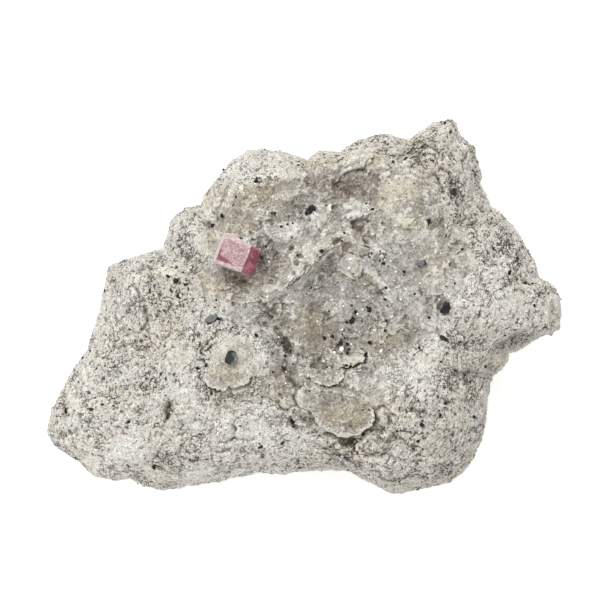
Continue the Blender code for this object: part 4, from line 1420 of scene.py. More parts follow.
@dataclass
class Ground:
    """Points of all surfaces that can be seen and grown on, with their normals, areas and layers."""

    points: list[Array] = field(default_factory=list)
    normals: list[Array] = field(default_factory=list)
    areas: list[Array] = field(default_factory=list)
    layers: list[Layers] = field(default_factory=list)

    def add(self, points: Array, count: int, layers: Layers, shown: Array) -> None:
        """Adds a square grid's shown points. Each stands for the area between its neighbours."""
        cross = grid_cross(points, count)
        self.points.append(points[shown])
        self.normals.append(unit(cross)[shown])
        self.areas.append(np.linalg.norm(cross, axis=1)[shown])
        self.layers.append({name: values[: len(points)][shown] for name, values in layers.items()})

    def joined(self) -> tuple[Array, Array, Array, Layers]:
        """All points, normals, areas and layers, one after another."""
        layers = {name: np.concatenate([each[name] for each in self.layers]) for name in self.layers[0]}
        return np.vstack(self.points), np.vstack(self.normals), np.concatenate(self.areas), layers

    def under(self, places: Array) -> Array:
        """Number of the highest point within 0.12 mm of each place, or of the nearest one."""
        points = self.joined()[0]
        found = []
        for place in places:
            distance = np.hypot(points[:, 0] - place[0], points[:, 1] - place[1])
            near = np.flatnonzero(distance < max(0.12, distance.min() + 0.01))
            found.append(near[np.argmax(points[near, 2])])
        return np.array(found)


@dataclass
class Relief:
    """The fine shape of a surface: how far it rises, the pale edges and painted highlight that go with it,
    and the painted shade in its creases, pits, cracks and gaps.
    """

    rise: Array
    bright: Array
    dark: Array
    plate: Optional[Array] = None

    @classmethod
    def of_rock(cls, points: Array) -> "Relief":
        """Bare rock.

        Rise: lumps 2.6 mm wide, and folds, the absolute value of a noise, whose creases lie where the
        noise crosses zero. A crease is cut deeper and gets painted shade where a second noise opens it, in
        crowds.
        Pits lie in some cells of a lattice, and fine ribs run along the flow bands; pits and the grooves
        between ribs get painted shade too.
        """
        noise = Noise(21)
        bent = noise.warp(points, 0.9, 0.28)
        rise = 0.34 * noise.layered(points, 2.6, 4, 0.6)
        dark = np.zeros(len(points))
        crowd = noise.layered(points + 70.0, 4.2, 2)
        folds = ((1.55, 0.40, 0.055), (0.80, 0.32, 0.085), (0.48, 0.20, 0.12))
        for k, (size, depth, width) in enumerate(folds):
            fold = np.abs(Noise(50 + k).smooth_noise(bent, size))
            gate = smooth(0.06, 0.17, Noise(60 + k).smooth_noise(points, size * 0.9) + 0.45 * crowd)
            cut = smooth(width, 0.0, fold) * gate
            rise += depth * (fold - 0.2) - 0.6 * depth * cut
            dark = np.maximum(dark, cut)
        near, _, name = Noise(22).cells(bent, 1.0)
        pit_shade = smooth(0.36, 0.08, near) * (name > 0.86)
        rise -= 0.45 * pit_shade
        dark = np.maximum(dark, pit_shade * 0.9)
        for band in FLOW_BANDS:
            height = band.height(points[:, 0], points[:, 1])
            near_band = np.flatnonzero(height > 0.01)
            x, y, z = points[near_band].T
            c, s = cos_sin(band.turn)
            lane = np.column_stack(((x * c + y * s) / 5.0, y * c - x * s, z * 0.3))
            rib = 1.0 - 2.0 * np.abs(Noise(27).layered(lane, 0.6, 3, 0.6))
            rise[near_band] += 2.1 * height[near_band] * (rib - 0.6)
            dark[near_band] = np.maximum(dark[near_band], 4.2 * height[near_band] * smooth(0.35, 0.0, rib))
        return cls(rise, np.zeros(len(points)), np.clip(dark, 0.0, 1.0))

    @classmethod
    def of_crust(cls, points: Array) -> "Relief":
        """The crust that grew over the rock.

        Rise: plates that climb slowly towards the lower right and break off there, a saw tooth over a
        slope bent by noise; their strength comes and goes. Ragged pads, cells of two sizes over bent
        points, stand at heights of their own and number the tints. Knobs in groups, and sugary grain.
        A plate's broken edge has a pale lip with a painted shadow in the gap under it; cell edges and holes
        get painted shade too.
        """
        noise = Noise(24)
        x, y = points[:, 0], points[:, 1]
        slope = (0.55 * x - 0.80 * y) / 2.9 + 1.7 * noise.layered(points, 3.4, 3, 0.6)
        slope += 0.30 * Noise(28).layered(points, 0.75, 3, 0.6)
        tooth = slope - np.floor(slope)
        strong = smooth(-0.10, 0.22, Noise(29).layered(points, 2.6, 3))
        rise = 0.46 * strong * (tooth - 0.5) + 0.42 * noise.layered(points + 90.0, 1.9, 4, 0.62)
        bright = strong * smooth(0.76, 0.97, tooth)
        dark = 0.8 * strong * smooth(0.12, 0.0, tooth)
        bent = Noise(34).warp(points, 1.0, 0.75)
        first, second, plate = Noise(33).cells(bent, 2.3)
        small_first, small_second, small = Noise(35).cells(bent + 5.0, 1.15)
        plate = np.where(small > 0.55, (small - 0.55) / 0.45, plate)
        edge = np.minimum(second - first, np.where(small > 0.50, small_second - small_first, 1.0))
        rise += 0.38 * (plate - 0.5) * smooth(0.0, 0.09, edge)
        parted = smooth(-0.05, 0.2, Noise(36).layered(points, 1.7, 2))
        dark = np.maximum(dark, 0.7 * parted * smooth(0.05, 0.0, edge))
        near, _, name = Noise(23).cells(noise.warp(points, 0.8, 0.3), 0.85)
        grouped = smooth(-0.15, 0.2, noise.layered(points + 50.0, 3.4, 2))
        knob = smooth(0.7, 0.0, near) * (0.3 + name) * grouped
        rise += 0.36 * (knob - 0.4 * grouped)
        near, second, name = Noise(25).cells(points, 0.34)
        rise += 0.13 * (0.6 - near) * (0.2 + name)
        hole = smooth(0.10, 0.30, Noise(26).layered(points, 1.3, 3, 0.6)) * smooth(0.16, 0.02, second - near)
        return cls(rise - 0.08 * hole, bright, np.maximum(dark, 0.35 * hole), plate)

    @classmethod
    def of(cls, points: Array, crust: Array, chalk: Array) -> "Relief":
        """Rock and crust mixed by the crust's share. Chalky ground is smoother, and cracks get painted shade.
        """
        rock, coat = cls.of_rock(points), cls.of_crust(points)
        wx, wy = LUMP.wandered(points[:, 0], points[:, 1])
        cracked = np.maximum.reduce([min(1.0, 1.9 * crack.depth) * crack.weight(wx, wy) for crack in CRACKS])
        cracked *= 0.8 + 0.8 * Noise(37).layered(points, 0.8, 2)
        bare = (1.0 - crust) * (1.0 - 0.50 * chalk) * (1.0 + strongest(CRUMBLY, wx, wy))
        cover = crust * (1.0 - 0.35 * chalk)
        return cls(
            rock.rise * bare + coat.rise * cover,
            coat.bright * crust,
            np.clip(np.maximum.reduce((rock.dark * bare, coat.dark * cover, cracked)), 0.0, 1.0),
            coat.plate,
        )


@dataclass
class RhyoliteMatrix:
    """The lump of rock: one closed skin from the crown over the rim to the flat back."""

    count: int = 304
    rim_at: float = 0.80
    covered_until: float = 0.78
    covered_rings: float = 0.26
    tuck_angle: float = 62.0
    back_rings: int = 15
    planes: int = 16
    seed: int = 3

    def profile(self, share: Array) -> tuple[Array, Array]:
        """How a point's way from the centre to the edge of the grid runs over the top and the side.

        The top takes the first part, along a superellipse's curve: few rings where the skins cover it,
        then evenly spaced ones. The rest is a quarter ellipse that tucks in under the rim.

        Args:
            share: 0 at the centre and 1 at the grid's edge.

        Returns:
            The share of the outline's radius, and the angle of the tuck in radians, 0 on the top.
        """
        dense = np.linspace(0.0, math.pi / 2, 900)
        power = 2.0 / LUMP.edge_power
        out, fall = np.sin(dense) ** power, np.cos(dense) ** power
        steps = np.hypot(np.diff(out) * 24.0, np.diff(fall) * 9.0)
        run = np.concatenate(([0.0], np.cumsum(steps)))
        under = np.interp(self.covered_until, out, run)
        way = np.interp(share / self.rim_at, (0.0, self.covered_rings, 1.0), (0.0, under, run[-1]))
        on_top = np.interp(way, run, out)
        tuck = np.clip((share - self.rim_at) / (1.0 - self.rim_at), 0.0, 1.0) * math.radians(self.tuck_angle)
        return on_top, tuck

    def macro(self, outline_share: Array, tuck: Array, angle: Array) -> tuple[Array, Overlay]:
        """Points of the smooth lump: centre + rim radius times share, lowered along the tuck."""
        share = np.where(tuck > 0.0, 1.0 - (1.0 - LUMP.back_share) * (1.0 - np.cos(tuck)), outline_share)
        reach = LUMP.rim(angle) * share
        x = LUMP.centre[0] + reach * np.cos(angle)
        y = LUMP.centre[1] + reach * np.sin(angle)
        over = overlay(x, y)
        top = LUMP.rounded(LUMP.crown(x, y) - over.depth, outline_share, angle)
        z = np.where(tuck > 0.0, LUMP.rim_height * (1.0 - np.sin(tuck)), top)
        return self.broken(np.column_stack((x, y, z))), over

    def broken(self, points: Array) -> Array:
        """Flattens the sides to fracture faces: what stands past a random plane is pressed back to it."""
        random = np.random.default_rng(self.seed)
        centre = np.array((*LUMP.centre, 7.0))
        share = smooth(LUMP.rim_height - 0.2, LUMP.rim_height - 3.0, points[:, 2])
        for k in range(self.planes):
            around = 2 * math.pi * (k + random.uniform(-0.35, 0.35)) / self.planes
            out, down = cos_sin(random.uniform(20.0, 55.0))
            normal = np.array((math.cos(around) * out, math.sin(around) * out, -down))
            reach = (points - centre) @ normal
            limit = reach.max() * random.uniform(0.88, 0.97)
            points = points - np.outer(np.maximum(0.0, reach - limit) * share, normal)
        return points

    def build(self, material: Material, ground: Ground) -> Object:
        """Builds the rock.

        Args:
            material: its finish.
            ground: gets the points that things can grow on.

        Returns:
            The object.
        """
        grid = DiscGrid(self.count)
        share, angle = grid.polar()
        base, over = self.macro(*self.profile(share), angle)
        normals = unit(grid_cross(base, self.count))
        layers = colour_layers(*base.T)
        high = base[:, 2] > LUMP.rim_height + 2.0
        relief = Relief.of(base, layers["crust"], layers["chalk"])
        rise = relief.rise * (0.6 + 0.4 * smooth(7.0, 10.5, base[:, 2]))
        top = base + normals * rise[:, None]
        hollow = blurred(top[:, 2], self.count, 5) - top[:, 2]
        grain = blurred(rise, self.count, 2) - rise
        # painted shade: deep and fine hollows, gaps at free sheet edges, creases, pits and cracks
        layers["cavity"] = np.clip(hollow * 0.7 * smooth(5.0, 9.0, base[:, 2]) + grain * 3.0, 0.0, 1.0)
        layers["cavity"] = np.maximum.reduce((layers["cavity"], over.shade * high * 0.8, relief.dark * 0.75))
        # painted highlight on raised bumps, plus the pale lips of crust plates
        layers["crest"] = np.clip(-hollow * 1.2 - grain * 1.5 + relief.bright, 0.0, 1.0)
        layers["lip"], layers["cream"] = np.zeros((2, len(base)))
        layers["plate"] = relief.plate
        ground.add(top, self.count, layers, ~(over.covered & high) & (base[:, 2] > 1.5))

        spokes, below = angle[grid.border()], []
        tuck = np.radians(np.linspace(self.tuck_angle, 90.0, 5)[1:])
        for k, down in enumerate(tuck):
            spokes = spokes[::2] if k < 2 else spokes
            below.append(self.macro(np.ones(spokes.shape), np.full(spokes.shape, down), spokes)[0])
        hub = np.array((*LUMP.centre, 0.0))
        lowest = below[-1]
        below += [lowest + (hub - lowest) * (k / self.back_rings) for k in range(1, self.back_rings)]
        for ring in below:
            ring[:, 2] = np.maximum(0.0, ring[:, 2] + 0.35 * np.maximum(0.0, Noise(31).layered(ring, 3.0, 4)))
        return closed(grid, top, below, hub, layers).to_object("rhyolite_rock", material)


@dataclass
class CrustPiece:
    """One piece made of sheets, each a closed disc with a raised face, in one mesh."""

    node: str
    finish: Material
    spacing: float = 0.10
    rocky: bool = False

    def sheet_skin(self, name: str, sheet: Sheet, ground: Ground) -> Skin:
        """One sheet.

        Height of the face: the ground, plus the thickness times a quarter-round at a free edge; at an
        edge that isn't free the sheet rises slowly from just below the rock. Under the face, rings run
        inwards and down to a point inside the rock.

        Args:
            name: the sheet's name.
            sheet: its outline and sizes.
            ground: gets the points that things can grow on.

        Returns:
            The closed skin.
        """
        count = int(2 * sheet.edge(np.linspace(0.0, 2 * math.pi, 90))[0].max() / self.spacing)
        grid = DiscGrid(count)
        share, angle = grid.polar()
        reach, freedom = sheet.edge(angle)
        middle = sheet.middle()

        def spot(inset: Array) -> tuple[Array, Array]:
            """Places on the spokes, that far inside the edge."""
            return middle[0] + (reach - inset) * np.cos(angle), middle[1] + (reach - inset) * np.sin(angle)

        inside = reach * (1.0 - share)
        x, y = spot(inside)
        over = overlay(x, y, name)
        base = LUMP.height(x, y, sheet.basin) - over.depth
        round_edge = 0.45 + 0.55 * np.sqrt(1.0 - (1.0 - np.minimum(inside / 0.20, 1.0)) ** 2)
        melting = sheet.thickness * smooth(0.1, 1.4, inside) - 0.18 * (1.0 - smooth(0.0, 0.45, inside))
        lift = freedom * sheet.thickness * round_edge + (1.0 - freedom) * melting
        points = np.column_stack((x, y, base))
        layers = colour_layers(*points.T)
        if not self.rocky:
            layers["crust"] = np.maximum(layers["crust"], smooth(0.2, 1.0, inside))
        relief = Relief.of(points, layers["crust"], layers["chalk"])
        calm = 1.0 - 0.2 * layers["crust"] if self.rocky else sheet.calm
        points[:, 2] += lift + calm * relief.rise
        hollow = blurred(points[:, 2], count, 4) - points[:, 2]
        # painted shade in hollows, gaps at free edges, creases and cracks
        deep = np.clip(hollow * (1.7 + 0.9 * layers["crust"]), 0.0, 0.85)
        layers["cavity"] = np.maximum.reduce((deep, over.shade * 0.8, relief.dark * calm * 0.85))
        # painted highlight on raised bumps, plus the pale lips of crust plates
        layers["crest"] = np.clip(-hollow * 3.4 + relief.bright, 0.0, 1.0)
        layers["plate"] = relief.plate
        patchy = 0.85 + 0.6 * Noise(43).layered(points, 1.1, 4, 0.65)
        layers["cream"] = np.clip(sheet.cream * smooth(0.0, 0.12, inside) * patchy, 0.0, 1.0)
        frayed = 0.5 + 0.9 * Noise(44).layered(points, 0.7, 2)
        layers["lip"] = np.clip(freedom * bell(inside, 0.40) * frayed * 1.5, 0.0, 0.95)
        ground.add(points, count, layers, (inside > 0.3) & ~over.covered)

        below = []
        for inset, drop in ((0.10, 0.02), (0.35, 0.45), (0.8, 1.1)):
            below.append(np.column_stack((*spot(np.minimum(inset, 0.8 * reach)), base - drop))[grid.border()])
        hub = np.array((*middle, min(ring[:, 2].min() for ring in below) - 0.1))
        # the rings under the sheet are painted fully shaded
        return closed(grid, points, below, hub, layers, 1.0)

    def build(self, ground: Ground) -> Object:
        """Builds the piece of all its sheets, and adds what can be grown on to the ground."""
        skins = [self.sheet_skin(name, sheet, ground) for name, sheet in SHEETS[self.node].items()]
        return joined_skins(skins).to_object(f"{self.node}_surface", self.finish)


def joined_skins(skins: Sequence[Skin]) -> Skin:
    """Several skins as one, side by side."""
    starts = np.cumsum([0] + [len(skin.points) for skin in skins])
    quads, triangles = (
        np.concatenate([getattr(skin, part) + start for skin, start in zip(skins, starts)])
        for part in ("quads", "triangles")
    )
    layers = {name: np.concatenate([skin.layers[name] for skin in skins]) for name in skins[0].layers}
    return Skin(np.vstack([skin.points for skin in skins]), quads, triangles, layers)


class MoteShape(Enum):
    """What a mote is: a lumpy grain, or a six-sided quartz point."""

    GRAIN = "grain"
    POINT = "point"

    def mesh(self) -> tuple[Array, Array]:
        """Points within about 1 of the middle, and triangles that face outwards.

        A grain is an icosahedron: its corners are the even turns of (0, 1, golden ratio), its faces all
        threes of corners two apart. A point is a six-sided prism with a tip, its long axis upwards.
        """
        if self is MoteShape.GRAIN:
            golden = (1 + math.sqrt(5)) / 2
            signs = [(a, b * golden) for a in (1, -1) for b in (1, -1)]
            points = np.array([np.roll((0.0, *pair), turn) for pair in signs for turn in range(3)])
            close = np.isclose(np.linalg.norm(points[:, None] - points[None], axis=2), 2.0)
            triangles = np.array([
                trio for trio in combinations(range(12), 3)
                if all(close[pair] for pair in combinations(trio, 2))
            ])
            points /= math.hypot(1.0, golden)
        else:
            around = np.radians(np.arange(6) * 60.0)
            ring = flat(np.cos(around), np.sin(around))
            points = np.vstack((ring - (0, 0, 1), ring + (0, 0, 0.2), [(0, 0, 1.2)], [(0, 0, -1)]))
            i = np.arange(6)
            j = np.roll(i, -1)
            sides = np.stack((i, j, j + 6), axis=1), np.stack((i, j + 6, i + 6), axis=1)
            tops = np.stack((i + 6, j + 6, np.full(6, 12)), axis=1), np.stack((j, i, np.full(6, 13)), axis=1)
            triangles = np.vstack((*sides, *tops))
        a, b, c = (points[triangles[:, k]] for k in range(3))
        inward = (np.cross(b - a, c - a) * (a + b + c)).sum(axis=1) < 0
        triangles[inward] = triangles[inward][:, ::-1]
        return points, triangles


@dataclass(frozen=True)
class Motes:
    """Many copies of a small closed shape in one mesh, each turned, stretched and dented by chance."""

    shape: MoteShape
    seed: int
    dents: float
    flat: float = 1.0
    upright: float = 0.0

    def skin(self, places: Array, normals: Array, radii: Array, layers: Layers) -> Skin:
        """Sets the copies: turned corners times radius, pressed along the normal, plus the place.

        Args:
            places: where the copies' middles lie.
            normals: the ground's normals there.
            radii: half sizes, one row of three for each copy.
            layers: a value for each copy in each named layer.

        Returns:
            The skin of all copies.
        """
        random = np.random.default_rng(self.seed)
        corners, triangles = self.shape.mesh()
        count = len(places)
        dented = 1.0 + self.dents * random.uniform(-1, 1, (count, len(corners), 1))
        scaled = corners[None] * dented * radii[:, None]
        axis = unit(random.normal(size=(count, 3)) + self.upright * 4.0 * normals)
        side = unit(np.cross(axis, random.normal(size=(count, 3))))
        frames = np.stack((side, np.cross(axis, side), axis), axis=1)
        turned = np.einsum("cvk,ckd->cvd", scaled, frames)
        lift = np.einsum("cvd,cd->cv", turned, normals)[:, :, None]
        turned = turned - (1.0 - self.flat) * lift * normals[:, None]
        points = (turned + places[:, None]).reshape(-1, 3)
        numbers = (triangles[None] + np.arange(count)[:, None, None] * len(corners)).reshape(-1, 3)
        spread = {name: np.repeat(values, len(corners)) for name, values in layers.items()}
        return Skin(points, np.zeros((0, 4), int), numbers, spread)


@dataclass
class Scatter:
    """Places motes on the ground by chance, or where the photograph shows them."""

    ground: Ground

    def __post_init__(self) -> None:
        """Joins the ground's parts once."""
        self.points, self.normals, self.areas, self.layers = self.ground.joined()

    def by_chance(
        self, motes: Motes, count: int, size: tuple[float, float], sunk: float, likely: Array,
        stretch: float = 0.3,
    ) -> Skin:
        """Motes at random points, as likely as area times a weight.

        Args:
            motes: the kind.
            count: how many.
            size: least and largest radius.
            sunk: how far the middle lies below the surface, in radii.
            likely: the weight of each ground point.
            stretch: how much the three radii differ.

        Returns:
            The skin.
        """
        random = np.random.default_rng(motes.seed + 100)
        chance = self.areas * likely
        chosen = random.choice(len(self.points), count, p=chance / chance.sum())
        radius = size[0] + (size[1] - size[0]) * random.uniform(0, 1, count) ** 2.2
        radii = radius[:, None] * random.uniform(1 - stretch, 1 + stretch, (count, 3))
        slide = random.normal(size=(count, 3)) * 0.08
        normals = self.normals[chosen]
        places = self.points[chosen] + slide - (slide * normals).sum(axis=1)[:, None] * normals
        places -= normals * (radius * sunk)[:, None]
        layers = {name: values[chosen] for name, values in self.layers.items()}
        # grains keep a third of the ground's painted shade, and get a random pale tone in the highlight layer
        layers["cavity"] = 0.3 * layers["cavity"]
        layers["crest"] = random.uniform(0.0, 0.8, count) ** 2
        layers["tint"] = random.uniform(0.0, 1.0, count)
        return motes.skin(places, normals, radii, layers)

    def by_sight(self, motes: Motes, seen: Sequence[tuple], sunk: float, tint: float, scale: float) -> Skin:
        """Motes at places in the photograph, each given as x, y, width and height in pixels.

        Args:
            motes: the kind.
            seen: the places and sizes.
            sunk: how far the middle lies below the surface, in radii.
            tint: the tint layer's value.
            scale: radius as a share of the size seen.

        Returns:
            The skin.
        """
        table = np.array(seen, float)
        at = self.ground.under(from_photo(table[:, :2]))
        radii = np.column_stack((table[:, 2], table[:, 3], table[:, 2:].mean(axis=1))) * MM_PER_PIXEL * scale
        normals = unit(self.normals[at] * 0.4 + (0, 0, 0.6))
        places = self.points[at] - normals * (radii.mean(axis=1) * sunk)[:, None]
        layers = {name: np.zeros(len(at)) for name in self.layers} | {"tint": np.full(len(at), tint)}
        return motes.skin(places, normals, radii, layers)


@dataclass
class GrainFields:
    """Rock granules, quartz points, dark specks and sparkling facets."""

    scatter: Scatter
    rock: Material

    def build(self) -> list[tuple[Object, str]]:
        """Builds the fields.

        Returns:
            Each object with its slot.
        """
        by_chance, by_sight = self.scatter.by_chance, self.scatter.by_sight
        layers, height = self.scatter.layers, self.scatter.points[:, 2]
        bare = (1.0 - 0.93 * layers["crust"]) * (1.0 - 0.45 * layers["chalk"])
        bare *= 0.35 + 0.65 * smooth(7.0, 9.5, height)
        crust = layers["crust"] * (1.0 - layers["chalk"]) * smooth(9.0, 12.0, height)
        granules = by_chance(Motes(MoteShape.GRAIN, 300, 0.25, 0.8), 9500, (0.07, 0.24), 0.5, bare)
        prisms = Motes(MoteShape.POINT, 330, 0.08, 1.0, 0.35)
        quartz = by_chance(prisms, 7000, (0.06, 0.17), 0.3, crust, stretch=0.25)
        anywhere = 0.6 + 0.4 * smooth(5.0, 8.0, height)
        specks = joined_skins((
            by_chance(Motes(MoteShape.GRAIN, 350, 0.4), 420, (0.06, 0.20), 0.3, anywhere),
            by_sight(Motes(MoteShape.GRAIN, 351, 0.45), DARK_GRAINS, 0.2, 0.2, 0.58),
        ))
        # the sparkling facets are painted glints
        facets = joined_skins((
            by_chance(Motes(MoteShape.GRAIN, 370, 0.1, 0.6), 120, (0.04, 0.08), -0.2, crust),
            by_sight(Motes(MoteShape.GRAIN, 371, 0.1), SPARKLES, -0.9, 0.5, 0.44),
        ))
        return [
            (skin.to_object(name, finish, False), slot)
            for skin, name, finish, slot in (
                (granules, "rhyolite_granules", self.rock, "rhyolite"),
                (quartz, "quartz_points", QUARTZ.material(), "grey_druse"),
                (specks, "dark_specks", SPECKS.material(), "dark_mineral"),
                (facets, "sparkling_facets", FACETS.material(), "grey_druse"),
            )
        ]


@dataclass(frozen=True)
class RedBeryl:
    """The beryl: a stubby six-sided prism with an uneven far end and a stepped patch on its wide face."""

    node: str = "red_beryl_crystal"
    length: float = 3.6
    wide_face: float = 3.37
    side_face: float = 2.03
    turn: float = -21.3
    nose: float = -4.0
    roll: float = -10.7
    fillet: float = 0.16
    patch_foot: float = -1.08
    patch_slant: float = 0.24
    patch_left: float = -1.48
    patch_head: float = 1.30
    side_steps: int = 26
    length_steps: int = 56

    def section(self) -> tuple[Array, Array]:
        """The rounded hexagon, clockwise as seen from the near end, and the number of each point's face.

        Each side runs straight between its two fillets. A fillet is a quadratic curve, tangent to both
        sides, with three points of its own.
        """
        slope = math.radians(60.0)
        half, thick = self.wide_face / 2, self.side_face * math.sin(slope)
        tip = half + self.side_face * math.cos(slope)
        outline = (-half, thick), (half, thick), (tip, 0), (half, -thick), (-half, -thick), (0.38 - tip, 0.1)
        corners = np.array(outline)
        points, faces = [], []
        for k in range(6):
            start, end = corners[k], corners[(k + 1) % 6]
            step = unit(end - start)
            cut = self.fillet * math.tan(math.radians(30.0))
            t = np.linspace(0.0, 1.0, self.side_steps)[:, None]
            points.append(start + step * cut + t * (end - start - 2 * step * cut))
            faces.append(np.full(self.side_steps, k))
            after = unit(corners[(k + 2) % 6] - end)
            first, last = end - step * cut, end + after * cut
            s = np.linspace(0.0, 1.0, 5)[1:-1, None]
            points.append((1 - s) ** 2 * first + 2 * s * (1 - s) * end + s**2 * last)
            faces.append(np.full(3, k))
        return np.vstack(points), np.concatenate(faces)

    def far_end(self, across: Array) -> Array:
        """How far the broken far end reaches at each place across: highest left of the middle."""
        return np.interp(across, (-2.7, -2.1, -0.95, -0.35, 2.7), (1.55, 1.80, 2.12, 1.84, 1.52))

    def build(self) -> Object:
        """Builds the crystal in its own frame, then turns it like the solid and sets it at its middle."""
        section, faces = self.section()
        around = len(section)
        ends = np.array((0.0, 0.35, 0.7, 0.93))
        shrink = np.concatenate((ends, np.ones(self.length_steps), ends[::-1]))[1:-1, None]
        t = np.concatenate((np.zeros(3), np.linspace(0.0, 1.0, self.length_steps), np.ones(3)))[:, None]
        tapered = 1.0 - 0.06 * (np.exp(-t / 0.016) + np.exp(-(1.0 - t) / 0.016))
        scale = np.where(shrink < 1.0, shrink, tapered)
        x, z = scale * section[:, 0], scale * section[:, 1]
        low, high = -self.length / 2, self.far_end(section[:, 0])[None, :]
        cap = 0.05 * Noise(61).layered(flat(x.ravel(), z.ravel()), 0.8, 3).reshape(x.shape)
        cap = cap * np.where(t > 0.5, 3.0, 0.6) * smooth(0.9, 1.0, np.abs(2 * t - 1))
        y = low + (high - low) * t + cap
        face = np.broadcast_to(faces, x.shape)
        patch = self.patch_weight(x, y) * (face == 0)
        lane = np.column_stack((x.ravel(), y.ravel() * 0.12, z.ravel()))
        rise = 0.045 * patch + 0.02 * Noise(62).layered(lane, 0.35, 2).reshape(x.shape) * (shrink > 0.99)
        rise -= 0.05 * (face == 1) * smooth(0.15, 0.0, np.abs(np.abs(y + 0.25 * z) - 0.7))
        outward = unit(np.stack((section[:, 0] / 4, 0 * section[:, 0], section[:, 1] / 2), axis=-1))
        points = (np.stack((x, y, z), axis=-1) + outward[None] * rise[..., None]).reshape(-1, 3)
        hubs = ((0.0, low, 0.0), (0.0, float(self.far_end(np.array(0.0))), 0.0))
        layers = self.layers(points, face.ravel(), patch.ravel(), np.repeat(t, around))
        layers = {name: np.append(values, (values[0], values[-1])) for name, values in layers.items()}
        skin = Skin(self.posed(np.vstack((points, hubs))), *capped(len(t), around, True), layers)
        return skin.to_object("red_beryl", BerylFinish().material())

    def patch_weight(self, x: Array, y: Array) -> Array:
        """1 on the pale patch: between a slanting line above the near end, the left edge and the far end."""
        above = smooth(-0.04, 0.05, y - self.patch_foot + self.patch_slant * x)
        inside = smooth(-0.04, 0.05, x - self.patch_left + 0.19 * y)
        return above * inside * smooth(0.10, -0.10, y - self.patch_head)

    def layers(self, points: Array, face: Array, patch: Array, t: Array) -> Layers:
        """The finish's masks: place across and along, the patch, the right and left faces, the near end, dark
        marks and painted highlights.
        """
        x, y, _ = points.T
        wide, right = face == 0, face == 1
        ragged = 0.10 * Noise(63).layered(points, 0.5, 2)
        strip = smooth(0.50, 0.36, y + self.length / 2 - 0.05 * x + ragged) + smooth(1.16, 1.34, y + ragged)
        over_foot = y + self.patch_slant * x - self.patch_foot
        # painted highlights: the wide face's right edge, the patch's foot and the far end
        rim = smooth(1.50, 1.60, x) * wide * smooth(-0.9, 0.4, y) * (y < 1.1)
        rim += smooth(0.09, 0.03, np.abs(over_foot)) * wide * smooth(-0.4, 0.6, x)
        seam = smooth(0.09, 0.02, np.abs(over_foot + 0.16)) * 0.8
        line = smooth(0.955, 0.985, t) * (wide | right) * 0.7
        end = smooth(0.02, 0.0, t) + smooth(0.985, 1.0, t) * 0.7 + 0.85 * strip * wide
        return {
            "across": x + 3.0 * right,
            "along": y,
            "patch": patch,
            "right": right * 1.0,
            "dark": right * smooth(0.22, 0.0, x - 1.70) * smooth(1.3, 0.4, y) + wide * seam,
            "left": (face == 5) * 0.9,
            "end": np.clip(end, 0.0, 1.0),
            "bright": np.clip(rim + line, 0.0, 1.0),
        }

    def posed(self, points: Array) -> Array:
        """Rolled about the length, near end raised, turned from above, and moved to the node's middle."""
        pose = rotation(self.turn, 0, 1) @ rotation(self.nose, 1, 2) @ rotation(self.roll, 2, 0)
        middle = np.mean([list(corner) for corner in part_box(self.node)], axis=0) / MM
        return points @ pose.T + middle


@dataclass(frozen=True)
class DarkCrystal:
    """A black crystal: the solid between several planes, as a distance from its middle by direction, with a
    painted sheen on the faces turned one way.
    """

    node: str
    size: tuple[float, float, float]
    turn: float
    lean: float
    sheen_side: float
    second: Optional[tuple[float, float, float]] = None
    sheen_up: float = 0.35
    lift: float = 0.0
    around: int = 72
    rows: int = 40

    def body(self, size: Array, seed: int) -> Skin:
        """One block: distance = the least of plane distance over the cosine to the plane's normal."""
        random = np.random.default_rng(seed)
        turn = np.linspace(0.0, 2 * math.pi, self.around, endpoint=False)
        rise = np.linspace(-math.pi / 2, math.pi / 2, self.rows + 2)[1:-1]
        out = np.cos(rise)[:, None]
        ray = np.stack((out * np.cos(turn), out * np.sin(turn), np.sin(rise)[:, None] + 0 * turn), axis=-1)
        ray = np.vstack((ray.reshape(-1, 3), (0, 0, -1.0), (0, 0, 1.0)))
        sides = np.vstack((np.eye(3), -np.eye(3)))
        corners = unit(2.0 * np.array(list(np.ndindex(2, 2, 2))) - 1.0)
        planes = unit(np.vstack((sides, corners)) + 0.12 * random.normal(size=(14, 3)))
        distance = np.concatenate((np.full(6, 1.0), random.uniform(1.18, 1.42, 8)))
        reach = distance[:, None] / np.maximum(planes @ ray.T, 1e-6)
        nearest = reach.argmin(axis=0)
        chipped = 1.0 + 0.22 * Noise(64).layered(ray + seed, 0.7, 3, 0.6)
        points = ray * (reach.min(axis=0) * chipped)[:, None] * size / 2
        tint = 0.15 + 0.25 * random.uniform(size=14)[nearest]
        # painted sheen: faces turned towards this side and upwards get the grey tint
        grey = unit(np.array((*cos_sin(self.sheen_side), self.sheen_up)))
        tint = np.where(planes[nearest] @ grey > 0.64, 0.95, tint)
        none = np.zeros(len(points))
        return Skin(points, *capped(self.rows, self.around), {"tint": tint, "tan": none, "brown": none})

    def build(self, material: Material) -> Object:
        """Builds the crystal, with a second one grown on where it has one, at the node's place."""
        middle = np.mean([list(corner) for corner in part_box(self.node)], axis=0) / MM + (0, 0, self.lift)
        size, offset = np.array(self.size), np.array(self.second or (0, 0, 0)) / 2
        skins = []
        for k, (share, turn) in enumerate(((1.0, 0), (0.75, 25)) if self.second else ((1.0, 0),)):
            skin = self.body(0.88 * share * size, 500 + k + len(self.node))
            pose = rotation(self.turn + turn, 0, 1) @ rotation(self.lean, 1, 2)
            skin.points = skin.points @ pose.T + (2 * k - 1) * offset + middle
            skins.append(skin)
        return joined_skins(skins).to_object(f"{self.node}_facets", material, False)


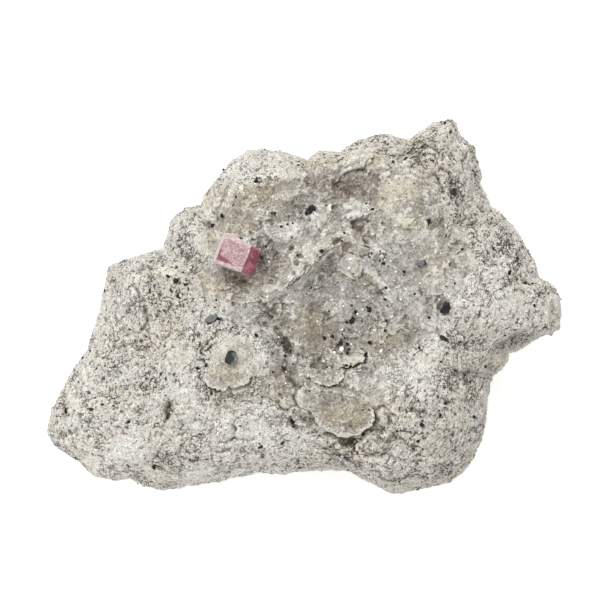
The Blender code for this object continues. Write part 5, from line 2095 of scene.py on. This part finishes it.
# The fifth and seventh numbers aim each crystal's grey, painted sheen.
DARK_CRYSTALS = (
    DarkCrystal("dark_crystal_plate", (1.1, 1.6, 1.4), -20, 14, 20.0, None, 0.6),
    DarkCrystal("dark_crystal_slab", (1.85, 0.95, 1.2), 28, -10, 90.0, None, 1.6, 0.22),
    DarkCrystal("dark_crystal_double", (1.15, 0.95, 1.0), 35, 12, 200.0, (-0.45, -0.42, 0.0), lift=0.55),
    DarkCrystal("dark_crystal_oval", (1.15, 0.65, 0.8), 25, 8, 90.0, None, 0.9),
    DarkCrystal("dark_crystal_pocket", (1.2, 1.6, 1.3), -30, -12, 320.0, lift=0.15),
    DarkCrystal("dark_crystal_slit", (1.25, 0.5, 0.7), -25, 10, 45.0, lift=0.7),
    DarkCrystal("dark_crystal_knob", (0.7, 0.85, 0.9), 10, -8, 180.0, lift=0.7),
    DarkCrystal("dark_crystal_centre", (0.62, 0.55, 0.8), 15, 10, 120.0, (0.8, -1.15, 0.0), 0.35, 0.25),
)


@dataclass(frozen=True)
class Studio:
    """Floor, soft light from the upper left, and the camera that looks down on the specimen."""

    lens: float = 800.0
    sensor: float = 36.0
    floor_size: float = 4.0
    sun_from: tuple[float, float, float] = (-0.48, 0.60, 1.25)
    sun_strength: float = 1.72
    sun_spread: float = 26.0
    sky_strength: float = 0.75

    def floor(self) -> Object:
        """A plain square floor at the height that the specimen rests on."""
        mesh = bpy.data.meshes.new("floor")
        half = self.floor_size / 2
        corners = [(-half, -half, 0), (half, -half, 0), (half, half, 0), (-half, half, 0)]
        mesh.from_pydata(corners, [], [(0, 1, 2, 3)])
        mesh.materials.append(FloorFinish().material())
        made = placed("floor", mesh)
        return made

    def light(self) -> None:
        """One wide sun for the soft key light, and an even white sky for the fill."""
        lamp = bpy.data.lights.new("key", "SUN")
        lamp.energy = self.sun_strength
        lamp.angle = math.radians(self.sun_spread)
        made = placed("key", lamp)
        made.rotation_mode = "QUATERNION"
        made.rotation_quaternion = Vector(self.sun_from).to_track_quat("Z", "Y")
        world = bpy.data.worlds.new("studio")
        world.use_nodes = True
        sky = world.node_tree.nodes["Background"]
        sky.inputs["Color"].default_value = (1.0, 1.0, 1.0, 1.0)
        sky.inputs["Strength"].default_value = self.sky_strength
        bpy.context.scene.world = world

    def camera(self) -> None:
        """A long lens straight above, framed so that the photograph's pixels fall where they were read."""
        data = bpy.data.cameras.new("camera")
        data.lens = self.lens
        data.sensor_width = self.sensor
        made = placed("camera", data)
        middle = from_photo((FRAME_PIXELS / 2, FRAME_PIXELS / 2))[0]
        away = FRAME_PIXELS * MM_PER_PIXEL * self.lens / self.sensor
        made.location = (middle[0] * MM, middle[1] * MM, (LUMP.rim_height + away) * MM)
        data.clip_start, data.clip_end = 0.01, 10.0
        bpy.context.scene.camera = made

    def build(self) -> None:
        """Sets the whole studio up."""
        self.floor()
        self.light()
        self.camera()
        bpy.context.scene.view_settings.view_transform = "Standard"


def dress(made: Object, slot: str, *nodes: str) -> None:
    """Hands a finished piece over: it rides on the specimen and stands for its nodes, whose solids are
    hidden.
    """
    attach(made, "root")
    if nodes:
        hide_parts(*nodes)
    LOG.info("%s: %d points, %d faces", made.name, len(made.data.vertices), len(made.data.polygons))


def main() -> None:
    """Builds the specimen and its studio."""
    logging.basicConfig(level=logging.INFO, format="%(name)s: %(message)s")
    ground = Ground()
    rock = RockFinish().material()
    dress(RhyoliteMatrix().build(rock, ground), "rhyolite", "rhyolite_matrix")
    for name, spacing in (
        ("rhyolite_skin_left", 0.125),
        ("rhyolite_skin_below", 0.125),
        ("rhyolite_skin_right", 0.133),
        ("upper_crust", 0.13),
    ):
        dress(CrustPiece(name, rock, spacing, True).build(ground), "rhyolite", "rhyolite_matrix")
    for node, slot in (
        ("druse_basin_lining", "grey_druse"),
        ("crust_shelf_lower", "tan_crust"),
        ("crust_plate_left", "cream_crust"),
        ("crust_ledge_upper", "cream_crust"),
        ("crust_patch_cream", "cream_crust"),
        ("crust_collar_beryl", "tan_crust"),
    ):
        dress(CrustPiece(node, RockFinish(f"{node}_finish").material()).build(ground), slot, node)

    dress(RedBeryl().build(), "red_beryl", RedBeryl.node)
    dark = DARK_MINERAL.material()
    for crystal in DARK_CRYSTALS:
        dress(crystal.build(dark), "dark_mineral", crystal.node)

    studio = Studio()
    for made, slot in GrainFields(Scatter(ground), rock).build():
        dress(made, slot)
    studio.build()


if __name__ == "__main__":
    main()
